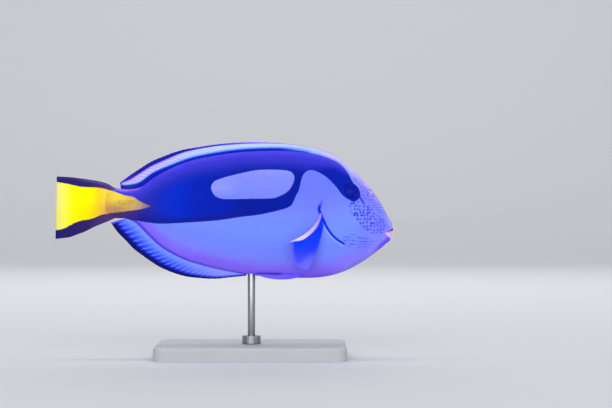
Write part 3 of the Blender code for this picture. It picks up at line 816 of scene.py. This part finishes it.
def joinedCopies(points, faces):
    # one mesh from points by (copy, point, axis) and one copy's faces, and the point at each corner
    copies, count, _ = points.shape
    corners = (faces[None] + (np.arange(copies) * count)[:, None, None]).ravel()
    mesh = bpy.data.meshes.new("scales")
    mesh.vertices.add(copies * count)
    mesh.loops.add(len(corners))
    mesh.polygons.add(len(corners) // 3)
    mesh.loops.foreach_set("vertex_index", corners)
    mesh.polygons.foreach_set("loop_start", np.arange(0, len(corners), 3))
    mesh.update(calc_edges=True)
    writePoints(mesh, *points.reshape(-1, 3).T)
    return mesh, corners


def makeScales(material):
    # thousands of low overlapping tiles whose free edges point to the tail
    form = scaleForm
    x, turn, size, way = layScales().T
    y, z = roundSection(x, turn)
    eyeX, eyeZ = eyeForm["place"]
    gap, share = besideLine(x, z, gillLine)
    offSlit = (np.abs(gap + 0.5) > form["slitClear"]) | (share < 0.1) | (share > 0.97)
    clear = offSlit & (np.hypot(x - eyeX, z - eyeZ) > form["eyeClear"])
    x, y, z, turn, size, way = (column[clear] for column in (x, y, z, turn, size, way))
    along, up, out = lieOfBody(x, turn)
    tilt = scatter.normal(0, form["tilt"], len(x))
    roots = np.stack([x, y, z], 1)
    folds, _ = relief(roots)
    onSnout = fade(x, form["to"] - form["buriedReach"], form["to"])
    buried = form["buried"] * onSnout * scatter.uniform(0.4, 1.0, len(x))
    roots += out * (folds - bodyForm["inset"] - buried)[:, None]
    # markings at each root, and how they change along and up from it
    step = form["markStep"]
    values, ahead, above = markValues(x, z), markValues(x + step, z), markValues(x, z + step)
    points, faces = modelScale()
    for sideName, side in sides:
        for partName, start, end in form["parts"]:
            some = np.flatnonzero((x >= start) & (x < end))
            local = points[None] * size[some, None, None]
            local[:, :, 2] += tilt[some, None] * np.sign(points[None, :, 0])
            placed = roots[some, None] - local[:, :, :1] * along[some, None]
            placed = placed + local[:, :, 1:2] * side * up[some, None] + local[:, :, 2:] * out[some, None]
            placed[:, :, 1] *= side
            mesh, corners = joinedCopies(placed, faces)
            awayX, awayZ = placed[:, :, 0] - x[some, None], placed[:, :, 2] - z[some, None]
            for note, value in values.items():
                growX, growZ = (near[note][some, None] - value[some, None] for near in (ahead, above))
                grown = value[some, None] + (growX * awayX + growZ * awayZ) / step
                writeNotes(mesh, {note: grown.ravel()})
            # a small patch for each scale, at its root's place along the body and round its girth
            lengthShare = (x[some] - form["from"]) / (form["to"] - form["from"])
            girthShare = 0.5 + side * (0.25 + 0.5 * way[some] / form["girthMost"])
            patch = points[None, :, :2] / np.ptp(points[:, 0]) * form["patch"]
            patch = patch + np.stack([lengthShare, girthShare], 1)[:, None]
            layer = mesh.uv_layers.new(name="OFBake")
            layer.data.foreach_set("uv", patch.reshape(-1, 2)[corners].ravel())
            piece = bpy.data.objects.new(f"scales_{sideName}_{partName}", mesh)
            bpy.context.scene.collection.objects.link(piece)
            finish(piece, material, "skin")
            print(piece.name, len(some), "scales")


# fins

finForms = {
    "dorsal": {
        "root": (69.8, -61.0),
        "rim": [
            (70.4, 69.4), (66.1, 73.1), (62.5, 75.0), (56.6, 76.9), (44.8, 79.3), (32.9, 80.7),
            (21.1, 81.2), (9.2, 81.1), (-2.6, 80.2), (-14.4, 78.5), (-26.3, 76.3), (-35.2, 73.2),
            (-44.0, 69.4), (-50.0, 65.6), (-55.9, 61.7), (-59.3, 59.2), (-62.0, 57.2),
        ],
        "spines": 9,
        "spineShare": 0.33,
        "rays": 20,
        "fork": (-0.6, 0.25),  # where along a ray its fork opens, and where it is open
        "lean": (0.0, 0.1),
        "columns": 420,
        "rows": 14,
    },
    "anal": {
        "root": (13.6, -57.0),
        "rim": [
            (12.6, 2.0), (3.3, 1.1), (-5.6, 0.3), (-14.4, 0.7), (-23.3, 1.8), (-32.2, 4.6), (-38.1, 7.2),
            (-42.7, 10.0), (-47.9, 13.7), (-52.8, 17.3), (-58.5, 23.1), (-63.2, 27.9), (-67.3, 33.6),
        ],
        "spines": 3,
        "spineShare": 0.1,
        "rays": 24,
        "fork": (0.6, 1.2),
        "lean": (0.05, 0.03),
        "columns": 360,
        "rows": 16,
    },
    "tail": {
        "top": [
            (-61.0, 52.0), (-65.9, 54.7), (-69.0, 56.5), (-73.6, 57.9), (-82.5, 59.4), (-91.4, 60.5),
            (-99.3, 60.9),
        ],
        "bottom": [
            (-61.0, 38.2), (-65.9, 35.7), (-71.3, 33.4), (-77.2, 31.0), (-82.5, 28.3), (-87.9, 26.3),
            (-91.4, 25.0), (-95.5, 24.4), (-100.1, 23.9),
        ],
        "rays": 16,
        "fork": (0.25, 0.58),
        "webHalf": [(0.0, 1.0), (0.12, 0.95), (0.3, 0.55), (0.6, 0.3), (1.0, 0.2)],  # by share outward
        "columns": 340,
        "rows": 44,
    },
    "pectoral": {
        "firstRay": [(57.0, -0.7, 40.3), (53.6, 6.6, 28.0), (38.8, 9.6, 22.8)],
        "lastRay": [(57.9, -0.7, 33.4), (58.4, 3.2, 25.2), (49.5, 4.5, 5.8)],
        "bulge": 4.2,
        "skew": 1.45,  # over 1 moves the bulge of its rim towards the last ray
        "rays": 15,
        "fork": (0.35, 0.8),
        "columns": 150,
        "rows": 40,
    },
    "pelvic": {
        "top": [(46.6, 3.6), (18.7, 3.9)],
        "bottom": [
            (46.6, 2.7), (44.0, 1.5), (40.0, 0.5), (34.5, 0.05), (28.0, 0.5), (22.5, 1.7), (18.7, 3.3),
        ],
        "out": (-0.4, 1.4),
        "rays": 6,
        "columns": 90,
        "rows": 30,
    },
}
longFinForm = {
    "sunk": 1.0,  # how far its root lies in the body
    "webHalf": (0.3, 0.2),  # from root to rim, as the two below
    "ridgeHalf": (0.3, 0.13),
    "ridgeWidth": 0.11,
    "wave": 0.12,
    "waves": 60,
    "notch": 0.1,
}


def finSheet(name, form, pointAt, halfAt, notesAt):
    # a grid bent to pointAt(along, outward) and thickened by halfAt, ray ridges included
    fin = started(name, "grid", x_subdivisions=form["columns"], y_subdivisions=form["rows"], size=1.0)
    grid = readPoints(fin.data)
    along, outward = grid[:, 0] + 0.5, grid[:, 1] + 0.5
    writePoints(fin.data, *pointAt(along, outward))
    half = halfAt(along, outward)
    writeNotes(fin.data, notesAt(along, outward))
    weights = fin.vertex_groups.new(name="thickness")
    for index, weight in enumerate(half / half.max()):
        weights.add([index], float(weight), "REPLACE")
    thick = fin.modifiers.new("thick", "SOLIDIFY")
    thick.thickness = 2 * float(half.max()) * mm
    thick.offset = 0.0
    thick.vertex_group = "thickness"
    bpy.ops.object.modifier_apply(modifier="thick")
    fin.vertex_groups.clear()
    turnedOut(fin)
    return fin


def forkedRay(phase, outward, fork, forks=1):
    # distance from the nearest ray branch, in ray spacings, where each ray forks on its way out
    gap = np.abs(phase - np.floor(phase) - 0.5)
    opening, reach = 0.25, fork[1] - fork[0]
    for level in range(forks):
        start = fork[0] + level * reach
        gap = np.abs(gap - opening * fade(outward, start, start + reach))
        opening /= 2
    return gap


def makeLongFin(kind, bodyLine, direction, material):
    # the fin along the back or the belly, whose direction is 1 or -1
    form, shared = finForms[kind], longFinForm

    def ridgeAt(along, outward):
        # spines in front, forked soft rays behind, leaning back along the fin
        at, share = along - mix(form["lean"], along) * outward, form["spineShare"]
        spine = np.abs(at / share * form["spines"] % 1 - 0.5)
        soft = forkedRay((at - share) / (1 - share) * form["rays"], outward, form["fork"])
        return bump(np.where(at < share, spine, soft), 0, shared["ridgeWidth"])

    def rootAt(along):
        x = mix(form["root"], along)
        return np.stack([x, smoothLine(bodyForm[bodyLine], x)], 1)

    def pointAt(along, outward):
        root = rootAt(along) - [0, direction * shared["sunk"]]
        x, z = mix((root, alongLine(form["rim"], along)), outward[:, None]).T
        notch = shared["notch"] * (1 - ridgeAt(along, outward)) * fade(outward, 0.8, 1.0)
        return x, shared["wave"] * np.sin(along * shared["waves"]) * outward, z - direction * notch

    def halfAt(along, outward):
        ridge = ridgeAt(along, outward) * mix(shared["ridgeHalf"], outward)
        return mix(shared["webHalf"], outward) + ridge

    def notesAt(along, outward):
        height = np.linalg.norm(alongLine(form["rim"], along) - rootAt(along), axis=1) + shared["sunk"]
        return {
            "ridge": ridgeAt(along, outward),
            "rimGap": (1 - outward) * height,
            "rootGap": outward * height - shared["sunk"],
            "along": along,
            "outward": outward,
        }

    fin = finSheet(f"{kind}_rays", form, pointAt, halfAt, notesAt)
    finish(fin, material, "fins", f"{kind}_fin")


def makeTailFin(material):
    form = finForms["tail"]

    def edgesAt(outward):
        return alongLine(form["top"], outward), alongLine(form["bottom"], outward)

    def heightAt(outward):
        top, bottom = edgesAt(outward)
        return np.linalg.norm(top - bottom, axis=1)

    def ridgeAt(along, outward):
        gap = forkedRay(along * form["rays"], outward, form["fork"], forks=2)
        return bump(gap * heightAt(outward) / form["rays"], 0, 0.2)

    def pointAt(along, outward):
        x, z = mix(edgesAt(outward), along[:, None]).T
        x = x + 0.25 * (1 - ridgeAt(along, outward)) * fade(outward, 0.92, 1.0)
        return x, 0.25 * np.sin(along * 9) * outward**2, z

    def halfAt(along, outward):
        margin = 0.3 * np.exp(-20 * np.minimum(along, 1 - along)) * (1 - outward)
        ridge = ridgeAt(along, outward) * mix((0.22, 0.12), outward)
        x, _, z = pointAt(along, outward)
        cover = 0.75 * flankDepth(x, z) + 2 * fade(x, -65.5, -70.5)  # stays under the skin at its root
        return np.minimum(smoothLine(form["webHalf"], outward) + ridge + margin, cover + 0.05)

    def notesAt(along, outward):
        x, _, z = pointAt(along, outward)
        yellow = insideBy(x, z, markings["yellow"])
        return {"ridge": ridgeAt(along, outward), "yellow": yellow, "topGap": along * heightAt(outward)}

    fin = finSheet("tail_fin_rays", form, pointAt, halfAt, notesAt)
    finish(fin, material, "tail", "tail_fin")


def makePectoralFin(name, side, material):
    form = finForms["pectoral"]

    def raysAt(outward):
        # the first and last ray, each a curve from its root, drawn to its bend, to its tip
        t = outward[:, None]
        for ray in (form["firstRay"], form["lastRay"]):
            root, bend, tip = (np.array(point)[None] for point in ray)
            yield root * (1 - t) ** 2 + 2 * bend * t * (1 - t) + tip * t**2

    def ridgeAt(along, outward):
        return bump(forkedRay(along * form["rays"], outward, form["fork"]), 0, 0.14)

    def pointAt(along, outward):
        x, y, z = mix(list(raysAt(outward)), along[:, None]).T
        bulge = form["bulge"] * outward**2 * np.sin(math.pi * along ** form["skew"])
        rootX, _, rootZ = (mix(pair, along) for pair in zip(form["firstRay"][0], form["lastRay"][0]))
        y = y + flankDepth(rootX, rootZ) - 0.5 * (1 - outward) ** 4
        ripple = 0.25 * np.sin(along * 14) * outward
        return x - bulge, side * (y + ripple), z - 0.6 * bulge

    def halfAt(along, outward):
        leading = np.exp(-along / 0.09) * mix((0.6, 0.2), outward)
        ridge = ridgeAt(along, outward) * mix((0.14, 0.07), outward)
        return 0.18 + 0.3 * (1 - outward) ** 2 + ridge + leading

    def notesAt(along, outward):
        first, last = raysAt(outward)
        leadGap = along * np.linalg.norm(first - last, axis=1)
        return {"ridge": ridgeAt(along, outward), "along": along, "outward": outward, "leadGap": leadGap}

    fin = finSheet(f"pectoral_rays_{name}", form, pointAt, halfAt, notesAt)
    finish(fin, material, "fins", f"pectoral_fin_{name}")


def makePelvicFin(name, side, material):
    form = finForms["pelvic"]

    def ridgeAt(along, outward):
        return bump(np.abs(outward * form["rays"] % 1 - 0.5), 0, 0.2)

    def pointAt(along, outward):
        edges = alongLine(form["top"], along), alongLine(form["bottom"], along)
        x, z = mix(edges, outward[:, None]).T
        return x, side * (flankDepth(x, np.maximum(z, 3.2)) + mix(form["out"], along)), z

    def halfAt(along, outward):
        leading = 0.25 * np.exp(-outward / 0.1) * (1 - along)
        return 0.16 + ridgeAt(along, outward) * mix((0.14, 0.056), along) + leading

    def notesAt(along, outward):
        return {"ridge": ridgeAt(along, outward), "along": along, "outward": outward}

    fin = finSheet(f"pelvic_rays_{name}", form, pointAt, halfAt, notesAt)
    finish(fin, material, "fins", f"pelvic_fin_{name}")


finTones = {
    "dorsal": {  # by height above the back
        -1.5: (8, 22, 156), 0: (4, 28, 172), 0.4: (2, 42, 194), 1.0: (54, 112, 242), 1.7: (140, 188, 255),
        2.6: (192, 204, 255), 8: (194, 202, 255),
    },
    "dorsalFront": {
        0: (70, 112, 240), 0.7: (128, 170, 255), 2.0: (172, 194, 255), 2.8: (210, 210, 255),
        8: (206, 204, 254),
    },
    "dorsalTip": {0: (150, 180, 255), 1.6: (170, 194, 255), 2.6: (208, 206, 254)},
    "napeFin": (197, 183, 252),
    "dorsalRear": (204, 182, 254),
    "dorsalBetween": (132, 136, 246),
    "dorsalRim": {
        0: (140, 124, 234), 0.37: (118, 104, 246), 0.55: (50, 46, 214), 0.7: (24, 26, 160),
        0.9: (28, 24, 148), 1: (60, 44, 190),
    },
    "dorsalFringe": (112, 82, 238),
    "dorsalFoot": (34, 38, 142),
    "anal": {  # by distance below the belly
        0: (88, 70, 226), 0.5: (96, 78, 232), 0.9: (120, 148, 254), 3: (104, 138, 254), 8: (70, 102, 248),
        13: (44, 68, 236),
    },
    "analFront": (146, 150, 252),
    "analRay": (104, 138, 254),
    "analBetween": (15, 20, 222),
    "analOuter": (0, 0, 178),
    "analRim": (10, 12, 98),
    "analTrail": (100, 72, 250),
    "tail": {
        -99: (228, 222, 130), -95: (242, 238, 92), -91: (250, 246, 30), -87: (252, 248, 0),
        -80: (252, 246, 0), -77: (254, 232, 6), -74: (252, 206, 36), -70: (246, 208, 72),
    },
    "tailLow": {-82: (252, 242, 0), -78: (250, 222, 10), -74: (232, 184, 52), -70: (208, 158, 86)},
    "tailLine": (206, 194, 0),
    "tailDark": {-99: (30, 28, 100), -82: (46, 32, 100), -74: (64, 43, 106), -68: (72, 48, 110)},
    "tailRay": (88, 70, 168),
    "pectoralWeb": {
        5: (108, 88, 248), 8: (92, 82, 250), 12: (66, 70, 252), 17: (30, 58, 252), 22: (0, 54, 254),
    },
    # partly the first ray's own pale colour, partly a painted highlight
    "pectoralRayAndHighlight": {
        0: (150, 60, 214), 0.08: (168, 142, 246), 0.5: (202, 182, 253), 0.85: (224, 204, 255),
        1: (146, 158, 254),
    },
    "pectoralTip": (102, 96, 252),
    "pectoralEdge": (98, 106, 246),
    "pelvic": (116, 90, 249),
    "pelvicLine": (51, 37, 172),
    "pelvicRay": (92, 70, 232),
}


def paintDorsal():
    paint = Paint("dorsal fin", finTones, 0.6)
    fade, both, blend, ramp, calc = paint.fade, paint.both, paint.blend, paint.ramp, paint.calc
    along, ridge = paint.read("along"), paint.read("ridge")
    rise = calc("SUBTRACT", paint.read("rootGap"), fade(along, 0.74, 0.88, 0, 1.4))
    pale = blend(ramp(rise, "dorsal"), ramp(rise, "dorsalFront"), fade(along, 0.3, 0.16))
    pale = blend(pale, ramp(rise, "dorsalTip"), fade(along, 0.17, 0.13))
    pale = blend(pale, "napeFin", fade(along, 0.11, 0.08))
    pale = blend(pale, "dorsalRear", fade(along, 0.66, 0.86), fade(rise, 0.8, 2.2))
    between = both(fade(ridge, 0.6, 0.05), fade(along, 0.25, 0.95, 0.1, 0.75), fade(rise, 0.6, 2.2))
    pale = blend(pale, "dorsalBetween", between)
    # the dark rim widens along the fin and ends before its tip
    width = calc("ADD", fade(along, 0.2, 0.5, 0.25, 1.15), fade(along, 0.6, 0.82, 0, 1.3))
    width = calc("SUBTRACT", width, fade(along, 0.94, 1.0, 0, 1.7))
    inward = calc("SUBTRACT", paint.read("rimGap"), width)
    pale = blend(pale, "dorsalFringe", fade(inward, 1.1, 0.2), fade(along, 0.55, 0.8), 0.6)
    pale = blend(pale, "dorsalFringe", fade(along, 0.985, 0.997), 0.7)
    whole = blend(pale, ramp(along, "dorsalRim"), fade(inward, 0.25, -0.2))
    return paint.colour(blend(whole, "dorsalFoot", fade(along, 0.9, 0.97), fade(rise, 0.8, 0.2)))


def paintAnal():
    paint = Paint("anal fin", finTones, 0.6)
    fade, blend, calc = paint.fade, paint.blend, paint.calc
    along, outward, rimGap = paint.read("along"), paint.read("outward"), paint.read("rimGap")
    onRay = fade(paint.read("ridge"), 0.1, 0.6)
    web = paint.ramp(paint.read("rootGap"), "anal")
    web = blend(web, "analRay", onRay, fade(outward, 0.25, 0.7, 0, 0.8))
    web = blend(web, "analBetween", calc("SUBTRACT", 1.0, onRay), fade(outward, 0.15, 0.75, 0.1, 0.75))
    web = blend(web, "analFront", fade(along, 0.58, 0.1, 0, 0.7))
    inward = calc("SUBTRACT", rimGap, fade(along, 0.05, 0.6, 0.5, 2.7))
    web = blend(web, "analOuter", fade(inward, 2.4, 0.4), 0.85)
    whole = blend(web, "analRim", fade(inward, 0.4, -0.3))
    return paint.colour(blend(whole, "analTrail", fade(along, 0.984, 0.992)))


def paintTail():
    paint = Paint("tail fin", finTones, 0.6)
    fade, blend, ramp, calc = paint.fade, paint.blend, paint.ramp, paint.calc
    x, z = paint.sideView()
    ragged = paint.strayed(x, 420, 3, 5.0)
    yellow = blend(ramp(ragged, "tail"), ramp(ragged, "tailLow"), fade(z, 48.5, 40), fade(x, -86, -80))
    lines = (fade(paint.read("ridge"), 0.6, 0.1), fade(z, 50, 34, 0.2, 0.8), fade(x, -70, -80))
    yellow = blend(yellow, "tailLine", *lines)
    rayLine = calc("ABSOLUTE", calc("SUBTRACT", paint.read("topGap"), 0.9))
    dark = blend(ramp(x, "tailDark"), "tailRay", fade(rayLine, 0.8, 0.2), fade(x, -90, -78, 0.2, 0.9))
    inYellow = paint.strayed(paint.read("yellow"), 700, 2, 0.8)
    return paint.colour(blend(dark, yellow, fade(inYellow, -0.3, 0.3)))


def paintPectoral():
    paint = Paint("pectoral fin", finTones, 0.55, 0.06)
    fade, blend, calc = paint.fade, paint.blend, paint.calc
    _, z = paint.sideView()
    along, outward = paint.read("along"), paint.read("outward")
    web = blend(paint.ramp(z, "pectoralWeb"), "pectoralEdge", fade(along, 0.6, 0.95), fade(z, 18, 10), 0.8)
    web = blend(web, "pectoralTip", fade(outward, 0.92, 1.0))
    web = blend(web, "pectoralEdge", fade(paint.read("ridge"), 0.2, 0.9, 0, 0.08))
    # the pale first ray narrows to its tip and at its root; its paleness is partly the ray's own colour and
    # partly a painted highlight where it catches the light from above
    width = calc("ADD", fade(outward, 0.7, 1.0, 2.2, 0.5), fade(outward, 0.05, 0.4, -0.5, 0))
    inward = calc("SUBTRACT", paint.read("leadGap"), width)
    return paint.colour(blend(web, paint.ramp(outward, "pectoralRayAndHighlight"), fade(inward, 0.4, -0.4)))


def paintPelvic():
    paint = Paint("pelvic fin", finTones, 0.6)
    fade, blend, read = paint.fade, paint.blend, paint.read
    whole = blend("pelvic", "pelvicLine", fade(read("outward"), 0.35, 0.15), fade(read("along"), 0.35, 0.55))
    return paint.colour(blend(whole, "pelvicRay", fade(read("ridge"), 0.7, 0.1, 0, 0.3)))


# eyes and tail spines

eyeTones = {
    # the pupil's lighter blue is a painted sheen; it darkens towards the pupil's edge
    "pupil": (0, 24, 164),
    "pupilMiddle": (0, 20, 148),
    "iris": (0, 16, 136),
    "irisFleck": (2, 22, 152),
    "ring": (10, 34, 166),
    "redArc": (74, 36, 116),
    "rim": (1, 20, 150),
}
bladeTones = {"blade": (222, 178, 70), "fleck": (196, 150, 60)}


def paintEye():
    # dark blue all over, with a wet surface coat
    paint = Paint("eye", eyeTones, 0.4)
    paint.set(paint.shader, {"Coat Weight": 0.03, "Coat Roughness": 0.05})
    fade, blend, radius, pupil = paint.fade, paint.blend, paint.read("eyeRadius"), eyeForm["pupil"]
    iris = blend("iris", "irisFleck", fade(paint.noise(1300, 3), 0.35, 0.65))
    # the pupil is lighter blue in its middle, a painted sheen, and darker towards its edge
    whole = blend("pupil", "pupilMiddle", fade(radius, 0.6, pupil))
    whole = blend(whole, iris, fade(radius, pupil - 0.1, pupil + 0.1))
    ring = paint.both(fade(radius, pupil, pupil + 0.15), fade(radius, pupil + 0.5, pupil + 0.2))
    whole = blend(whole, "ring", ring, 0.15)
    whole = blend(whole, "redArc", fade(radius, 2.9, 3.7), paint.read("frontLow"), 0.65)
    return paint.colour(blend(whole, "rim", fade(radius, 3.9, 4.3)))


def setOnFlank(piece, shape, axis, form, side, sink):
    # turns a shape so that its axis faces out of the body, sinks it there, and gives its points
    place, facing = surfaceAt(form["place"], side)
    turn = Vector(axis).rotation_difference(facing).to_matrix()
    spots = shape @ np.array(turn).T + np.array(place - facing * sink)
    writePoints(piece.data, *spots.T)
    return spots - np.array(place)


def makeEye(name, side, material):
    form = eyeForm
    piece = started(f"eyeball_{name}", "uv_sphere", segments=96, ring_count=64, radius=1.0)
    ball = readPoints(piece.data)
    front = ball[:, 2] > 0
    away = np.hypot(ball[:, 0], ball[:, 1]) * form["radius"]
    flat = ball * np.array([form["radius"], form["radius"], form["halfDepth"]])
    flat[:, 2] -= np.where(front, form["dip"] * bump(away, form["pupil"] + 0.9, 0.8), 0)
    placed = setOnFlank(piece, flat, (0, 0, 1), form, side, form["sink"])
    frontLow = fade(placed[:, [0, 2]] @ np.array(form["arcWay"]), 2.2, 3.8)
    writeNotes(piece.data, {"eyeRadius": np.where(front, away, form["radius"]), "frontLow": frontLow})
    finish(piece, material, "eyes", f"eye_{name}")


def makeSpine(name, side):
    # the sharp blade on the tail stalk, pointing forwards, hinged at its rear end
    form = spineForm
    piece = started(f"tail_blade_{name}", "uv_sphere", segments=40, ring_count=40, radius=1.0)
    ball = readPoints(piece.data)[:, [2, 1, 0]]
    flat = ball * np.array([form["length"] / 2, form["thickness"] / 2, form["height"] / 2])
    flat[:, 1:] *= 1 - 0.75 * fade(ball[:, :1], -0.2, 1.0)  # narrows to the front
    setOnFlank(piece, flat, (0, side, 0), form, side, bodyForm["inset"] + form["sink"])
    turnedOut(piece)
    paint = Paint("tail blade", bladeTones, 0.4, 0.35)
    material = paint.colour(paint.blend("blade", "fleck", paint.noise(600, 3)))
    finish(piece, material, "spines", f"tail_spine_{name}")


# stand

standForm = {
    "rodRadius": 2.2,
    "rodFoot": 8.3,  # above the floor, as the next
    "rodTop": 49.8,
    "bevel": 0.3,
    "place": 16.0,
}
standTones = {
    "coat": (170, 172, 176),
    "coatFleck": (178, 180, 184),
    "steel": (134, 136, 141),
    "steelFleck": (160, 162, 166),
}


def dressStand():
    base = Paint("powder coat", standTones, 0.62, 0.4)
    base.relief(base.noise(2400, 3), 0.00008, 0.5)
    coat = base.colour(base.blend("coat", "coatFleck", base.noise(60, 2)))
    steel = Paint("brushed steel", standTones, 0.3, 0.5, 1.0)
    grain = steel.noise(900, 3, (1, 1, 0.05))
    steel.relief(grain, 0.00003, 0.4)
    metal = steel.colour(steel.blend("steel", "steelFleck", grain))
    for node, material in (("stand_base", coat), ("stand_collar", metal)):
        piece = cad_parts[node]
        piece.data.materials.clear()
        piece.data.materials.append(material)
    form = standForm
    height = form["rodTop"] - form["rodFoot"]
    middle = (form["place"] * mm, 0, (form["rodFoot"] + height / 2) * mm)
    rod = started("stand_rod_polished", "cylinder", vertices=64, radius=form["rodRadius"] * mm,
                  depth=height * mm, location=middle)
    bpy.ops.object.transform_apply(location=True, rotation=True, scale=True)
    bevel = rod.modifiers.new("edge", "BEVEL")
    bevel.width = form["bevel"] * mm
    bevel.segments = 3
    bevel.limit_method = "ANGLE"
    bpy.ops.object.modifier_apply(modifier="edge")
    finish(rod, metal, "stand_metal", "stand_rod")
    rod.data.set_sharp_from_angle(angle=math.radians(40))
    print("stand dressed")


# room, light and camera, in metres

roomForm = {"width": 6.0, "front": -3.0, "back": 1.6, "curve": 0.9, "height": 3.2}
roomTones = {"floor": (208, 208, 210)}
lightForms = {
    "key": {"place": (0.0, -1.5, 0.8), "size": (2.2, 1.0), "power": 14},
    "low": {"place": (-0.2, -1.8, 0.15), "size": (2.4, 0.5), "power": 14},
    "front": {"place": (1.4, -0.9, 0.4), "size": (0.8, 0.8), "power": 2},
    "back": {"place": (0.0, 1.0, 0.9), "size": (1.4, 0.8), "power": 5},
    "backdrop": {"place": (0.0, 0.4, 2.2), "size": (2.4, 0.6), "power": 26, "aim": (0.0, 2.4, 0.7)},
}
worldForm = {"Color": (0.9, 0.93, 1.0, 1), "Strength": 0.5}
cameraForm = {
    "aim": (48.3, 44.6),  # the (x, z) mark in the middle of the picture
    "distance": 1.0,
    "pictureWidth": 612 * 0.592 * mm,  # the photo's pixels, by the millimetres that one shows
    "sensor": 36.0,
}


def makeRoom():
    # a floor that curves up into the backdrop
    room = started("studio_floor", "grid", x_subdivisions=2, y_subdivisions=60, size=1.0)
    form = roomForm
    across, share, _ = readPoints(room.data).T
    straight, bent = form["back"] - form["front"], form["curve"] * math.pi / 2
    travel = (share + 0.5) * (straight + bent + form["height"])
    angle = np.clip((travel - straight) / form["curve"], 0, math.pi / 2)
    y = form["front"] + np.minimum(travel, straight) + form["curve"] * np.sin(angle)
    z = form["curve"] * (1 - np.cos(angle)) + np.maximum(travel - straight - bent, 0)
    writePoints(room.data, across * form["width"] / mm, y / mm, z / mm - bellyHeight)
    room.data.shade_smooth()
    paint = Paint("floor", roomTones, 0.8, 0.2)
    room.data.materials.append(paint.colour(tone(*roomTones["floor"])))


def addLight(name, place, size, power, aim=(0.0, 0.0, 0.09)):
    light = bpy.data.lights.new(name, "AREA")
    light.shape = "RECTANGLE"
    light.size, light.size_y = size
    light.energy = power
    lamp = bpy.data.objects.new(name, light)
    lamp.location = place
    lamp.rotation_euler = (Vector(aim) - Vector(place)).to_track_quat("-Z", "Y").to_euler()
    bpy.context.scene.collection.objects.link(lamp)


def makeLightAndCamera():
    for name, form in lightForms.items():
        addLight(name, **form)
    scene = bpy.context.scene
    scene.view_settings.view_transform = "Standard"
    scene.world = bpy.data.worlds.new("studio")
    scene.world.use_nodes = True
    for name, value in worldForm.items():
        scene.world.node_tree.nodes["Background"].inputs[name].default_value = value
    form = cameraForm
    camera = bpy.data.cameras.new("camera")
    camera.sensor_width = form["sensor"]
    camera.lens = form["sensor"] * form["distance"] / form["pictureWidth"]
    scene.camera = bpy.data.objects.new("camera", camera)
    scene.camera.location = (form["aim"][0] * mm, -form["distance"], (form["aim"][1] + bellyHeight) * mm)
    scene.camera.rotation_euler = (math.pi / 2, 0, 0)
    scene.collection.objects.link(scene.camera)


makeSkin(paintSkin("skin"))
makeScales(paintSkin("scales"))
makeLongFin("dorsal", "back", 1, paintDorsal())
makeLongFin("anal", "belly", -1, paintAnal())
makeTailFin(paintTail())
pectoralPaint, pelvicPaint, eyePaint = paintPectoral(), paintPelvic(), paintEye()
for sideName, side in sides:
    makePectoralFin(sideName, side, pectoralPaint)
    makePelvicFin(sideName, side, pelvicPaint)
print("fins made")
for sideName, side in sides:
    makeEye(sideName, side, eyePaint)
    makeSpine(sideName, side)
print("eyes and tail spines made")
dressStand()
makeRoom()
makeLightAndCamera()
print("room, light and camera made")
